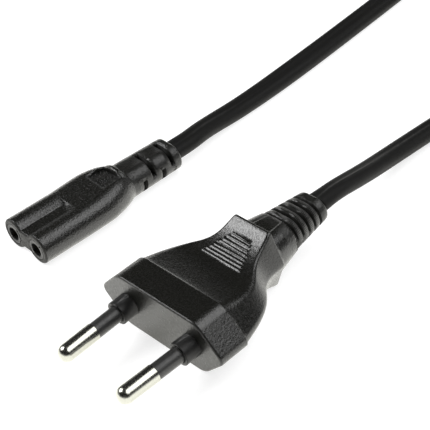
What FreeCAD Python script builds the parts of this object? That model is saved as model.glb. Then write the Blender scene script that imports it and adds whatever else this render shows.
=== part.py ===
import FreeCAD, Part
import math
import os

import Sketcher
from FreeCAD import Placement, Rotation, Vector

# A two-core lead: a figure eight power connector, its flat twin cord, and a flat two-pin plug.
# Frame: X across the connector's two bores, Y from its face towards the cord, Z up.
# The origin is the middle of the connector's footprint, on the surface that the lead lies on.
# Millimetres throughout.

SIZES = (
    # Connector moulding, measured from its face along Y
    ("bore_pitch", 8.6, "between the two bores"),
    ("barrel_dia", 7.4, "the moulding round each bore, and its full height"),
    ("web_half", 2.3, "half the thickness between the barrels at the face"),
    ("web_fillet", 0.5, "where the web meets the barrels"),
    ("deck_start", 12.6, "where the valley between the barrels ends in a flat deck"),
    ("barrel_length", 18.0, "where the sides start to curve in"),
    ("crown", 0.8, "how far the top behind the barrels stands over them"),
    ("neck_y", 28.3, "where the curve has reached the strain relief"),
    ("relief_half_width", 5.05, "strain relief at the neck"),
    ("relief_half_height", 3.65, "strain relief at the neck"),
    ("relief_end_drop", 0.3, "how much the relief tapers to its end, each way"),
    ("connector_length", 43.0, "from the face to the end of the strain relief"),
    ("face_edge", 0.55, "rounding of the face"),
    ("relief_edge", 0.6, "rounding of the ends of the relief and of the boot"),
    ("thumb_start", 20.9, "front edge of the thumb pad"),
    ("thumb_end", 26.0, "where the pad meets its lip"),
    ("thumb_half_width", 3.4, "half the pad's width"),
    ("thumb_corner", 0.5, "rounding of the pad's two front corners"),
    ("thumb_floor", 3.4, "height of the upper pad over the middle plane"),
    ("thumb_floor_under", 2.75, "height of the lower pad under it"),
    ("lip_depth", 1.4, "the lip behind the pad, along Y"),
    ("lip_rise", 5.1, "crest of the upper lip over the middle plane"),
    ("lip_rise_under", 3.7, "crest of the lower lip, which the connector lies on"),
    ("lip_half_width", 3.5, "half the lip's width"),
    ("lip_end", 0.5, "height of the lip's two ends over the pad's floor"),
    ("slot_width", 1.2, "slots across the strain relief"),
    ("slot_first", 31.4, "middle of the first slot"),
    ("slot_step", 2.9, "from one slot to the next, on alternate sides"),
    ("slot_side_high", 0.8, "top of a near side's slot over the middle plane"),
    ("slot_side_low", 2.8, "its lower end under the middle plane"),
    ("slot_top_reach", 1.75, "how far a slot over the top goes past the middle"),
    ("slot_top_low", 0.2, "its lower end over the middle plane"),
    ("slot_core_half_width", 3.2, "what the slots leave standing"),
    ("slot_core_half_height", 2.1, "what the slots leave standing"),
    # Contact carrier, and the sockets in it
    ("tube_dia", 4.9, "carrier tube, which shows as a ring in the face"),
    ("mouth_dia", 3.3, "bore of the carrier tube"),
    ("ring_gap", 0.12, "groove round the ring, wide and deep"),
    ("carrier_step", 11.3, "shoulder that the socket seats on"),
    ("flange_start", 12.9, "flange that ties the two tubes together"),
    ("flange_end", 15.9, "back of the carrier"),
    ("flange_half_width", 6.2, "half the flange's width"),
    ("flange_half_height", 2.0, "half the flange's height"),
    ("contact_start", 1.6, "how far the socket sits behind the face"),
    ("contact_bore", 2.4, "grips a pin of this size"),
    ("contact_wall", 0.3, "rolled brass strip"),
    ("contact_flare", 0.2, "lead-in at the socket's mouth"),
    ("contact_slit", 0.4, "where the rolled strip's edges face each other"),
    ("crimp_end", 18.4, "end of the crimp barrel"),
    ("fit_gap", 0.05, "clearance of a piece that was pushed into its seat"),
    # Cord
    ("strands_dia", 1.1, "0.75 mm2 of fine copper"),
    ("core_dia", 2.5, "insulated core"),
    ("core_half_pitch", 1.3, "half the distance between the cores in the cord"),
    ("core_start", 18.6, "where a core's insulation begins in the connector"),
    ("cord_width", 6.0, "flat twin cord"),
    ("cord_thickness", 3.6, "flat twin cord"),
    ("exit_run", 5.6, "how far the cord runs straight out of a moulding"),
    # Plug moulding, measured from its face along its own Y
    ("block_depth", 7.2, "straight block at the face"),
    ("block_half_width", 17.7, "half the face's width"),
    ("block_half_height", 6.7, "half the face's height"),
    ("block_corner", 4.2, "rounding of the face's four corners"),
    ("block_apex", 1.8, "rounding of the face's two sides"),
    ("block_step", 0.3, "how far the grip starts inside the block"),
    ("block_edge", 0.5, "rounding of the face"),
    ("waist_y", 16.75, "lowest place of the top, at the foot of the finger ramp"),
    ("waist_half_height", 4.1, "half the height there"),
    ("ramp_end", 27.5, "top of the finger ramp"),
    ("wedge_y", 28.2, "back of the finger wedge"),
    ("wedge_half_height", 7.37, "half the height over the two wedges"),
    ("wedge_edge", 0.35, "rounding of the wedge's back edge"),
    ("grip_half_width", 7.9, "half the width behind the grip"),
    ("ridge_first", 18.1, "first ridge of the finger ramp"),
    ("ridge_step", 0.9, "from one ridge to the next"),
    ("ridge_width", 0.45, "one ridge, along Y"),
    ("ridge_rise", 0.22, "one ridge over the ramp"),
    ("ridge_long", 5.4, "half the first ridge's length"),
    ("ridge_short", 2.55, "half the last ridge's length"),
    ("ridge_count", 8, "ridges on each ramp"),
    ("neck_half_height", 4.9, "half the height just behind the wedge"),
    ("boot_y", 34.5, "where the ribbed boot starts"),
    ("boot_end", 46.0, "end of the boot"),
    ("boot_half_width", 5.75, "at its start"),
    ("boot_half_height", 3.95, "at its start"),
    ("tail_half_width", 4.2, "at its end"),
    ("tail_half_height", 3.0, "at its end"),
    ("rib_first", 34.9, "middle of the boot's first groove"),
    ("rib_step", 2.08, "from one groove to the next"),
    ("rib_groove", 0.8, "width of a groove"),
    ("rib_depth", 0.55, "depth of a groove all round"),
    ("rib_cut", 1.25, "depth of a groove on the sides where it is cut deep"),
    ("rib_count", 5, "grooves in the boot"),
    # Pins, sleeves and the bridge that holds them
    ("pin_dia", 4.0, "bare metal"),
    ("pin_length", 19.0, "from the face to the tip"),
    ("pin_base_half", 9.35, "half the distance between the pins at the face"),
    ("pin_tip_half", 8.84, "half the distance between them at their tips"),
    ("pin_dome", 1.85, "rounding of the tip"),
    ("sleeve_length", 10.0, "sleeve in front of the face"),
    ("sleeve_dia", 3.6, "sleeve"),
    ("pin_shank", 2.8, "pin under its sleeve"),
    ("pin_collar", 4.4, "collar that holds the pin in the bridge"),
    ("collar_start", 2.6, "pin's collar behind the face"),
    ("collar_end", 4.4, "pin's collar behind the face"),
    ("tail_dia", 2.4, "crimp barrel of a pin"),
    ("tail_end", 12.0, "end of a pin's crimp barrel behind the face"),
    ("ring_dia", 5.3, "the bridge's collar round each sleeve"),
    ("ring_length", 3.5, "that collar in front of the face"),
    ("sleeve_seat", 2.0, "how deep the sleeve sits behind the face"),
    ("bridge_start", 1.4, "front of the bridge's block"),
    ("bridge_end", 7.6, "back of the bridge's block"),
    ("bridge_half_width", 12.6, "half its width"),
    ("bridge_half_height", 3.4, "half its height"),
    # Where the plug lies beside the connector, and the coil of the length behind them
    ("plug_x", 46.3, "middle of the plug's face"),
    ("plug_y", 1.1, "the plug's face behind the connector's face"),
    ("plug_turn", 2.12, "the plug's turn about Z, in degrees"),
    ("coil_x", 28.5, "middle of the coil"),
    ("coil_y", 185.5, "middle of the coil behind the connector's face"),
    ("coil_radius", 35.3, "middle of the turns"),
    ("coil_turns", 5.5, "turns, in a flat spiral inwards and one outwards on it"),
    ("coil_layers", 2, "spirals on each other"),
    ("coil_slack", 0.2, "how much more than its own width a turn takes"),
    ("tie_width", 14.0, "strap round the coil"),
    ("tie_thickness", 0.9, "strap round the coil"),
    ("tie_bearing", 250.0, "where the strap is, in degrees from X"),
)

# The grip's outline between the block and the top of the ramp: share of the way back, share of
# the narrowing still to come, the chamfer's width for each unit of height, and the corner's
# rounding for each unit of that width. The apex at each side is rounded in the same share of
# the height all along.
GRIP_STATIONS = (
    (0.00, 1.000, 1.00, 0.62),
    (0.16, 0.900, 1.00, 0.60),
    (0.32, 0.775, 0.98, 0.58),
    (0.46, 0.615, 0.92, 0.54),
    (0.58, 0.405, 0.78, 0.48),
    (0.70, 0.160, 0.58, 0.40),
    (0.82, 0.040, 0.46, 0.34),
    (0.92, 0.010, 0.41, 0.32),
    (1.00, 0.000, 0.40, 0.30),
)
GRIP_APEX = 0.28
WAIST_EASE = 1.5

# The connector's outline from its barrels to its strain relief: share of the way from where its
# sides curve in to the relief, share of the narrowing still to come, and the share of its crown,
# by which the top stands over the barrels.
NECK_STATIONS = (
    (0.00, 1.000, 0.55),
    (0.18, 0.985, 0.74),
    (0.34, 0.910, 0.90),
    (0.50, 0.775, 1.00),
    (0.63, 0.640, 1.00),
    (0.75, 0.470, 0.85),
    (0.86, 0.270, 0.50),
    (0.94, 0.100, 0.18),
    (1.00, 0.000, 0.00),
)

# The cord's route, from the connector's face as Y = 0: first the stretch at the connector and
# then the one at the plug, each from the moulding to the coil. Its height is the middle of the
# cord, which lies flat on the surface.
CONNECTOR_ROUTE = (
    (-1.2, 54.1, 3.3),
    (-2.15, 59.9, 2.5),
    (-2.75, 66.3, 1.9),
    (-3.15, 73.4, 1.8),
    (-3.7, 81.0, 1.8),
    (-4.6, 90.5, 1.8),
    (-5.9, 102.5, 1.8),
    (-7.4, 115.0, 1.8),
    (-9.05, 128.5, 1.8),
    (-10.95, 142.5, 1.8),
    (-13.05, 157.0, 1.8),
    (-14.6, 171.5, 1.8),
)
PLUG_ROUTE = (
    (43.95, 58.6, 7.0),
    (43.1, 64.7, 5.6),
    (42.0, 71.0, 4.2),
    (41.1, 78.4, 3.05),
    (40.5, 86.2, 2.2),
    (40.4, 95.0, 1.8),
    (41.6, 105.0, 1.8),
    (44.8, 115.5, 1.8),
    (49.3, 126.5, 1.8),
    (54.6, 137.5, 1.9),
    (60.2, 148.5, 2.7),
    (65.5, 160.0, 4.1),
    (69.8, 172.5, 5.2),
)


class Dim:
    """A size with the sheet expression that gives it, so that both stay the same."""

    def __init__(self, value, text):
        self.value = float(value)
        self.text = text

    def __add__(self, other):
        other = dim(other)
        return Dim(self.value + other.value, "(%s + %s)" % (self.text, other.text))

    def __sub__(self, other):
        other = dim(other)
        return Dim(self.value - other.value, "(%s - %s)" % (self.text, other.text))

    def __mul__(self, factor):
        return Dim(self.value * factor, "(%s * %r)" % (self.text, factor))

    def __truediv__(self, factor):
        return Dim(self.value / factor, "(%s / %r)" % (self.text, factor))

    def __neg__(self):
        return Dim(-self.value, "(0 - %s)" % self.text)

    @property
    def count(self):
        """The size as a whole number."""
        return int(self.value)


def dim(value):
    """A plain number as a Dim."""
    return value if isinstance(value, Dim) else Dim(value, repr(float(value)))


class Sizes:
    """The spreadsheet, with each size read as an attribute."""

    def __init__(self, document, rows):
        sheet = document.addObject("Spreadsheet::Sheet", "Sizes")
        for row, (alias, value, note) in enumerate(rows, start=1):
            sheet.set("A%d" % row, alias)
            sheet.set("B%d" % row, repr(value))
            sheet.set("C%d" % row, note)
            sheet.setAlias("B%d" % row, alias)
            setattr(self, alias, Dim(value, "Sizes.%s" % alias))


doc = FreeCAD.newDocument("figure_eight_lead")
S = Sizes(doc, SIZES)
doc.recompute()


# Document objects

def bind(obj, path, value):
    """Ties one property of an object to the sheet."""
    obj.setExpression(path, dim(value).text)


def cylinder(name, radius, start, length, x=0.0, z=0.0):
    """A cylinder along Y, from start to start + length."""
    obj = doc.addObject("Part::Cylinder", name)
    obj.Placement = Placement(Vector(), Rotation(Vector(1, 0, 0), -90))
    bind(obj, "Radius", radius)
    bind(obj, "Height", length)
    bind(obj, "Placement.Base.x", x)
    bind(obj, "Placement.Base.y", start)
    bind(obj, "Placement.Base.z", z)
    return obj


def box(name, half_x, start, end, low, high):
    """A box that is centred across X, from start to end along Y and low to high."""
    obj = doc.addObject("Part::Box", name)
    bind(obj, "Length", dim(half_x) * 2)
    bind(obj, "Width", dim(end) - start)
    bind(obj, "Height", dim(high) - low)
    bind(obj, "Placement.Base.x", -dim(half_x))
    bind(obj, "Placement.Base.y", start)
    bind(obj, "Placement.Base.z", low)
    return obj


def fuse(name, shapes):
    """The union of several objects."""
    obj = doc.addObject("Part::MultiFuse", name)
    obj.Shapes = shapes
    obj.Refine = True
    return obj


def cut(name, base, tool):
    """One object with another taken out of it."""
    obj = doc.addObject("Part::Cut", name)
    obj.Base = base
    obj.Tool = tool
    return obj


def feature(name, shape, placement=None):
    """A shape that was worked out with Part's own functions."""
    obj = doc.addObject("Part::Feature", name)
    obj.Shape = shape
    if placement is not None:
        obj.Placement = placement
    return obj


def new_body(name):
    return doc.addObject("PartDesign::Body", name)


def sketch_on(body, name, role, offset=0.0):
    """A sketch on one of the body's own origin planes, set off along the plane's normal."""
    plane = next(item for item in body.Origin.OriginFeatures if item.Role == role)
    sketch = body.newObject("Sketcher::SketchObject", name)
    sketch.AttachmentSupport = [(plane, "")]
    sketch.MapMode = "FlatFace"
    bind(sketch, "AttachmentOffset.Base.z", offset)
    return sketch


def constrain(sketch, kind, where, value):
    """A driving constraint that is tied to the sheet."""
    index = sketch.addConstraint(Sketcher.Constraint(kind, *where, value.value))
    bind(sketch, "Constraints[%d]" % index, value)


def hold_point(sketch, edge, end, across, up):
    """Ties a point of a sketch to its two distances from the sketch's origin."""
    for kind, value, axis in (("DistanceX", dim(across), -2), ("DistanceY", dim(up), -1)):
        if value.value == 0:
            sketch.addConstraint(Sketcher.Constraint("PointOnObject", edge, end, axis))
        elif value.value > 0:
            constrain(sketch, kind, (-1, 1, edge, end), value)
        else:
            constrain(sketch, kind, (edge, end, -1, 1), -value)


def polygon(sketch, points):
    """A closed outline of straight lines through points given as pairs of sizes."""
    corners = [Vector(dim(a).value, dim(b).value, 0) for a, b in points]
    edges = [sketch.addGeometry(Part.LineSegment(corners[i], corners[(i + 1) % len(corners)]))
             for i in range(len(corners))]
    for i, edge in enumerate(edges):
        following = edges[(i + 1) % len(edges)]
        sketch.addConstraint(Sketcher.Constraint("Coincident", edge, 2, following, 1))
    for edge, (across, up) in zip(edges, points):
        hold_point(sketch, edge, 1, across, up)


def stadium(sketch, half_width, half_height, up=0.0):
    """Two half circles joined by straight lines, centred over the sketch's origin."""
    half_width, half_height, up = dim(half_width), dim(half_height), dim(up)
    middle, radius = (half_width - half_height).value, half_height.value
    normal = Vector(0, 0, 1)
    right = sketch.addGeometry(Part.ArcOfCircle(
        Part.Circle(Vector(middle, up.value, 0), normal, radius), -math.pi / 2, math.pi / 2))
    top = sketch.addGeometry(Part.LineSegment(Vector(middle, up.value + radius, 0),
                                              Vector(-middle, up.value + radius, 0)))
    left = sketch.addGeometry(Part.ArcOfCircle(
        Part.Circle(Vector(-middle, up.value, 0), normal, radius), math.pi / 2, 3 * math.pi / 2))
    low = sketch.addGeometry(Part.LineSegment(Vector(-middle, up.value - radius, 0),
                                              Vector(middle, up.value - radius, 0)))
    for first, second in ((right, top), (top, left), (left, low), (low, right)):
        sketch.addConstraint(Sketcher.Constraint("Tangent", first, 2, second, 1))
    sketch.addConstraint(Sketcher.Constraint("Horizontal", top))
    constrain(sketch, "Radius", (right,), half_height)
    hold_point(sketch, right, 3, half_width - half_height, up)
    hold_point(sketch, left, 3, half_height - half_width, up)


def pad(body, name, sketch, length, reverse=True):
    """A pad; on the XZ plane the reverse way is +Y."""
    obj = body.newObject("PartDesign::Pad", name)
    obj.Profile = sketch
    obj.Reversed = reverse
    bind(obj, "Length", length)
    return obj


def loft(body, name, sketches, ruled):
    """A loft from the first sketch through the others."""
    obj = body.newObject("PartDesign::AdditiveLoft", name)
    obj.Profile = sketches[0]
    obj.Sections = sketches[1:]
    obj.Ruled = ruled
    return obj


def revolved(name, points, fillet=None):
    """A body turned about its Y axis from an outline of (radius, place along Y)."""
    body = new_body(name)
    sketch = sketch_on(body, name + "_outline", "XY_Plane")
    polygon(sketch, points)
    turned = body.newObject("PartDesign::Revolution", name + "_turned")
    turned.Profile = sketch
    turned.ReferenceAxis = (sketch, ["V_Axis"])
    turned.Angle = 360
    doc.recompute()
    if fillet is not None:
        place, radius = fillet
        edges = edge_names(turned.Shape, lambda box: box.YMax < place.value + 0.01)
        rounded(body, name + "_rounded", turned, edges, radius)
    return body


def edge_names(shape, wanted):
    """Names of the edges whose bounding box passes a test."""
    return ["Edge%d" % (i + 1) for i, edge in enumerate(shape.Edges) if wanted(edge.BoundBox)]


def rounded(body, name, base, edges, radius):
    """A fillet on named edges of a body's last feature."""
    obj = body.newObject("PartDesign::Fillet", name)
    obj.Base = (base, edges)
    bind(obj, "Radius", radius)
    doc.recompute()
    return obj


# Wires and sweeps

def tangent_arcs(points, tightest=None, share=0.45):
    """A wire of straight runs joined by the largest tangent arcs that the runs allow."""
    points = [Vector(*p) for p in points]
    edges = []
    radii = []
    last = points[0]
    for before, corner, after in zip(points, points[1:], points[2:]):
        back = (before - corner).normalize()
        ahead = (after - corner).normalize()
        half_turn = (math.pi - back.getAngle(ahead)) / 2
        trim = share * min((before - corner).Length, (after - corner).Length)
        radius = trim / math.tan(half_turn)
        if tightest is not None and radius > tightest:
            radius = tightest
            trim = radius * math.tan(half_turn)
        start = corner + back * trim
        end = corner + ahead * trim
        inward = (back + ahead).normalize()
        middle = corner + inward * (radius / math.cos(half_turn) - radius)
        edges.append(Part.LineSegment(last, start).toShape())
        edges.append(Part.Arc(start, middle, end).toShape())
        radii.append(radius)
        last = end
    edges.append(Part.LineSegment(last, points[-1]).toShape())
    return Part.Wire(edges), radii


def stadium_wire(half_width, half_height, y=0.0):
    """The stadium outline as a wire in an XZ plane."""
    middle = half_width - half_height
    lift = half_height
    corners = [Vector(middle, y, -lift), Vector(half_width, y, 0), Vector(middle, y, lift),
               Vector(-middle, y, lift), Vector(-half_width, y, 0), Vector(-middle, y, -lift)]
    return Part.Wire([
        Part.Arc(corners[0], corners[1], corners[2]).toShape(),
        Part.LineSegment(corners[2], corners[3]).toShape(),
        Part.Arc(corners[3], corners[4], corners[5]).toShape(),
        Part.LineSegment(corners[5], corners[0]).toShape(),
    ])


def round_rod(points, diameter, tightest=None):
    """A round rod along a route."""
    path, _ = tangent_arcs(points, tightest)
    start = Vector(*points[0])
    ahead = Vector(*points[1]) - start
    section = Part.Wire([Part.Circle(start, ahead, diameter / 2).toShape()])
    return path.makePipeShell([section], True, False)


def hexagon_wire(y, half_width, half_height, inset, corner, apex):
    """The plug's section: a hexagon with its apexes at the sides and every corner rounded."""
    sharp = half_width + apex * (1 / math.cos(math.atan2(inset, half_height)) - 1)
    flat = sharp - inset
    points = [Vector(sharp, y, 0), Vector(flat, y, half_height), Vector(-flat, y, half_height),
              Vector(-sharp, y, 0), Vector(-flat, y, -half_height), Vector(flat, y, -half_height)]
    radii = [apex, corner, corner, apex, corner, corner]
    arcs = []
    for i, point in enumerate(points):
        back = (points[i - 1] - point).normalize()
        ahead = (points[(i + 1) % 6] - point).normalize()
        half_turn = (math.pi - back.getAngle(ahead)) / 2
        trim = radii[i] * math.tan(half_turn)
        inward = (back + ahead).normalize()
        middle = point + inward * (radii[i] / math.cos(half_turn) - radii[i])
        arcs.append((point + back * trim, middle, point + ahead * trim))
    edges = []
    for i, (start, middle, end) in enumerate(arcs):
        edges.append(Part.Arc(start, middle, end).toShape())
        edges.append(Part.LineSegment(end, arcs[(i + 1) % 6][0]).toShape())
    return Part.Wire(edges)


# Connector moulding

def figure_eight(sketch):
    """Two barrels joined by a web: two arcs and two lines."""
    radius = S.barrel_dia / 2
    half = (S.bore_pitch / 2).value
    web = S.web_half.value
    reach = math.acos(-math.sqrt(radius.value ** 2 - web ** 2) / radius.value)
    normal = Vector(0, 0, 1)
    right = sketch.addGeometry(Part.ArcOfCircle(
        Part.Circle(Vector(half, 0, 0), normal, radius.value), -reach, reach))
    valley = half - math.sqrt(radius.value ** 2 - web ** 2)
    top = sketch.addGeometry(Part.LineSegment(Vector(valley, web, 0), Vector(-valley, web, 0)))
    left = sketch.addGeometry(Part.ArcOfCircle(
        Part.Circle(Vector(-half, 0, 0), normal, radius.value), math.pi - reach, math.pi + reach))
    low = sketch.addGeometry(Part.LineSegment(Vector(-valley, -web, 0), Vector(valley, -web, 0)))
    for first, second in ((right, top), (top, left), (left, low), (low, right)):
        sketch.addConstraint(Sketcher.Constraint("Coincident", first, 2, second, 1))
    sketch.addConstraint(Sketcher.Constraint("Horizontal", top))
    sketch.addConstraint(Sketcher.Constraint("Horizontal", low))
    constrain(sketch, "Radius", (right,), radius)
    constrain(sketch, "Radius", (left,), radius)
    hold_point(sketch, right, 3, S.bore_pitch / 2, 0.0)
    hold_point(sketch, left, 3, -S.bore_pitch / 2, 0.0)
    constrain(sketch, "DistanceY", (-1, 1, top, 1), S.web_half)
    constrain(sketch, "DistanceY", (low, 1, -1, 1), S.web_half)


def connector_outside():
    """The connector's overmould from outside, before its slots and cavities."""
    body = new_body("connector_moulding")
    half_width = (S.bore_pitch + S.barrel_dia) / 2
    half_height = S.barrel_dia / 2
    face = sketch_on(body, "face_outline", "XZ_Plane")
    figure_eight(face)
    front = pad(body, "barrels", face, S.deck_start)
    doc.recompute()
    low_corners = edge_names(front.Shape, lambda b: b.YLength > 1 and abs(b.Center.x) < half_width.value / 2)
    rounded(body, "web_rounded", front, low_corners, S.web_fillet)
    deck = sketch_on(body, "deck_outline", "XZ_Plane", -S.deck_start)
    stadium(deck, half_width, half_height)
    sections = []
    for number, (way, narrowing, crown) in enumerate(NECK_STATIONS):
        place = S.barrel_length + (S.neck_y - S.barrel_length) * way
        section = sketch_on(body, "neck_%d" % number, "XZ_Plane", -place)
        stadium(section, S.relief_half_width + (half_width - S.relief_half_width) * narrowing,
                S.relief_half_height + (half_height - S.relief_half_height) * narrowing + S.crown / 2 * crown,
                S.crown / 2 * crown)
        sections.append(section)
    loft(body, "deck", [deck, sections[0]], True)
    loft(body, "neck", sections, False)
    relief = []
    for number, (place, drop) in enumerate(((S.neck_y, dim(0.0)), (S.connector_length, S.relief_end_drop))):
        section = sketch_on(body, "relief_%d" % number, "XZ_Plane", -place)
        stadium(section, S.relief_half_width - drop, S.relief_half_height - drop)
        relief.append(section)
    barrel = loft(body, "relief", relief, True)
    doc.recompute()
    ends = edge_names(barrel.Shape, lambda b: b.YMin > S.connector_length.value - 0.01)
    end = rounded(body, "relief_rounded", barrel, ends, S.relief_edge)
    front_edges = edge_names(end.Shape, lambda b: b.YMax < 0.01)
    rounded(body, "face_rounded", end, front_edges, S.face_edge)
    return body


def lip(floor, high):
    """The raised lip behind a thumb pad: a low arch from the pad's floor, high at its crest."""
    foot = floor + S.lip_end.value
    half, start = S.lip_half_width.value, S.thumb_end.value
    left, crown, right = Vector(-half, start, foot), Vector(0, start, high), Vector(half, start, foot)
    arch = Part.Wire([Part.Arc(left, crown, right).toShape(),
                      Part.LineSegment(right, Vector(half, start, 0)).toShape(),
                      Part.LineSegment(Vector(half, start, 0), Vector(-half, start, 0)).toShape(),
                      Part.LineSegment(Vector(-half, start, 0), left).toShape()])
    solid = Part.Face(arch).extrude(Vector(0, S.lip_depth.value, 0))
    crest = [e for e in solid.Edges if e.BoundBox.YLength < 0.01 and e.BoundBox.ZMax > foot + 0.1]
    return solid.makeFillet(S.lip_depth.value * 0.4, crest)


def relief_slots():
    """Slots across the strain relief: two over the top and under it, two round the sides."""
    core = Part.Face(stadium_wire(S.slot_core_half_width.value, S.slot_core_half_height.value,
                                  S.neck_y.value)).extrude(
        Vector(0, S.connector_length.value - S.neck_y.value, 0))
    reach = S.barrel_dia.value
    gap = S.slot_width.value
    slots = []
    for number in range(4):
        place = S.slot_first.value + number * S.slot_step.value - gap / 2
        if number % 2:
            # over the top and down one side, and the same turned underneath
            first = Part.makeBox(reach, gap, reach, Vector(-S.slot_top_reach.value, place, S.slot_top_low.value))
        else:
            # round one side, from under the relief to above its middle
            low, high = S.slot_side_low.value, S.slot_side_high.value
            first = Part.makeBox(reach, gap, low + high, Vector(S.slot_core_half_width.value / 2, place, -low))
        turned = first.copy()
        turned.rotate(Vector(0, 0, 0), Vector(0, 1, 0), 180)
        slots += [first.cut(core), turned.cut(core)]
    return slots


def core_route(side):
    """One core from its crimp to the end of the strain relief."""
    bore = side * S.bore_pitch.value / 2
    middle = side * S.core_half_pitch.value
    start, end = S.core_start.value, S.connector_length.value
    return [(bore, start, 0), (bore, start + 3.0, 0), (middle, start + 9.5, 0), (middle, end, 0)]


def carrier_outside(name):
    """The contact carrier as a solid: two tubes and the flange between them."""
    tubes = [cylinder("%s_tube_%d" % (name, side), S.tube_dia / 2, 0.0, S.flange_end, S.bore_pitch / 2 * side)
             for side in (-1, 1)]
    flange = box(name + "_flange", S.flange_half_width, S.flange_start, S.flange_end,
                 -S.flange_half_height, S.flange_half_height)
    return fuse(name, tubes + [flange])


crimp_radius = S.contact_bore / 2 - S.contact_wall
SIDES = (("left", -1), ("right", 1))
connector_place = Placement(Vector(0, -S.connector_length.value / 2, S.barrel_dia.value / 2), Rotation())


def place_connector(obj, x=0.0):
    """Sets a piece of the connector, modelled from its face and middle plane, in the frame."""
    bind(obj, "Placement.Base.x", x)
    bind(obj, "Placement.Base.y", -S.connector_length / 2)
    bind(obj, "Placement.Base.z", S.barrel_dia / 2)


def make_connector():
    outside = connector_outside()
    pads = []
    for turn, floor, high in ((0, S.thumb_floor.value, S.lip_rise.value),
                              (180, S.thumb_floor_under.value, S.lip_rise_under.value)):
        pocket = Part.makeBox(2 * S.thumb_half_width.value, S.thumb_end.value - S.thumb_start.value,
                              S.barrel_dia.value, Vector(-S.thumb_half_width.value, S.thumb_start.value, floor))
        upright = [e for e in pocket.Edges if e.BoundBox.ZLength > 1 and e.BoundBox.YMax < S.thumb_start.value + 0.1]
        pocket = pocket.makeFillet(S.thumb_corner.value, upright)
        rim = lip(floor, high)
        for shape in (pocket, rim):
            shape.rotate(Vector(0, 0, 0), Vector(0, 1, 0), turn)
        pads.append((pocket, rim))
    thumb_pockets = feature("thumb_pockets", Part.makeCompound([pocket for pocket, _ in pads]))
    lips = feature("lips", Part.makeCompound([rim for _, rim in pads]))
    recessed = cut("recessed", outside, thumb_pockets)
    whole = fuse("lipped", [recessed, lips])
    slots = feature("relief_slots", Part.makeCompound(relief_slots()))
    hollow = [carrier_outside("carrier_space"), slots]
    for name, side in SIDES:
        x = S.bore_pitch / 2 * side
        hollow.append(cylinder("ring_groove_" + name, S.tube_dia / 2 + S.ring_gap, 0.0, S.ring_gap, x))
        hollow.append(cylinder("crimp_space_" + name, crimp_radius, S.flange_end, S.core_start - S.flange_end, x))
        hollow.append(feature("core_space_" + name, round_rod(core_route(side), S.core_dia.value)))
    shell = cut("connector_body", whole, fuse("connector_hollow", hollow))
    place_connector(shell)

    bores = []
    for name, side in SIDES:
        x = S.bore_pitch / 2 * side
        bores.append(cylinder("mouth_" + name, S.mouth_dia / 2, 0.0, S.carrier_step, x))
        bores.append(cylinder("rear_" + name, crimp_radius + S.fit_gap, 0.0, S.flange_end, x))
    carrier = cut("contact_carrier", carrier_outside("carrier_block"), fuse("carrier_bores", bores))
    place_connector(carrier)

    for name, side in SIDES:
        grip = S.contact_bore / 2
        strands = S.strands_dia / 2 + S.fit_gap
        socket = revolved("contact_" + name, (
            (grip, S.contact_start + S.contact_flare * 2),
            (grip + S.contact_flare, S.contact_start),
            (grip + S.contact_wall, S.contact_start),
            (grip + S.contact_wall, S.carrier_step),
            (crimp_radius, S.carrier_step),
            (crimp_radius, S.crimp_end),
            (strands, S.crimp_end),
            (strands, S.carrier_step - S.contact_wall),
            (grip, S.carrier_step - S.contact_wall),
        ))
        slit = sketch_on(socket, "slit_outline_" + name, "XY_Plane", 0.0)
        polygon(slit, ((-S.contact_slit / 2, S.contact_start - 1.0), (S.contact_slit / 2, S.contact_start - 1.0),
                       (S.contact_slit / 2, S.carrier_step - 1.5), (-S.contact_slit / 2, S.carrier_step - 1.5)))
        opened = socket.newObject("PartDesign::Pocket", "slit_" + name)
        opened.Profile = slit
        opened.Reversed = True
        bind(opened, "Length", S.contact_bore)
        place_connector(socket, S.bore_pitch / 2 * side)

        route = core_route(side)
        rod = round_rod(route, S.core_dia.value)
        wire = round_rod(route, S.strands_dia.value)
        feature("connector_core_" + name, rod.cut(round_rod(route, S.strands_dia.value + 2 * S.fit_gap.value)),
                connector_place)
        bared = Part.makeCylinder(S.strands_dia.value / 2, S.core_start.value - S.carrier_step.value - 1.0,
                                  Vector(side * S.bore_pitch.value / 2, S.carrier_step.value + 1.0, 0), Vector(0, 1, 0))
        feature("connector_strands_" + name, wire.fuse(bared).removeSplitter(), connector_place)


# Plug moulding

def ramp_radius():
    """The finger ramp is an arc, level at the waist, that ends at the wedge's height."""
    run = S.ramp_end.value - S.waist_y.value
    rise = S.wedge_half_height.value - S.waist_half_height.value
    return (run ** 2 + rise ** 2) / (2 * rise)


def grip_half_height(y):
    """Half the plug's height at a place between its block and the top of its ramp."""
    if y > S.waist_y.value:
        radius = ramp_radius()
        return S.waist_half_height.value + radius - math.sqrt(radius ** 2 - (y - S.waist_y.value) ** 2)
    left = (S.waist_y.value - y) / (S.waist_y.value - S.block_depth.value)
    start = S.block_half_height.value - S.block_step.value
    return S.waist_half_height.value + (start - S.waist_half_height.value) * left ** WAIST_EASE


def grip_section(way, narrowing, slope, corner):
    """One section of the grip."""
    y = S.block_depth.value + (S.ramp_end.value - S.block_depth.value) * way
    start = S.block_half_width.value - S.block_step.value
    half_width = S.grip_half_width.value + (start - S.grip_half_width.value) * narrowing
    half_height = grip_half_height(y)
    inset = half_height * slope
    return hexagon_wire(y, half_width, half_height, inset, inset * corner, half_height * GRIP_APEX)


def boot_half(y):
    """Half the boot's width and height at a place along it."""
    share = (y - S.boot_y.value) / (S.boot_end.value - S.boot_y.value)
    return (S.boot_half_width.value + (S.tail_half_width.value - S.boot_half_width.value) * share,
            S.boot_half_height.value + (S.tail_half_height.value - S.boot_half_height.value) * share)


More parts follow.
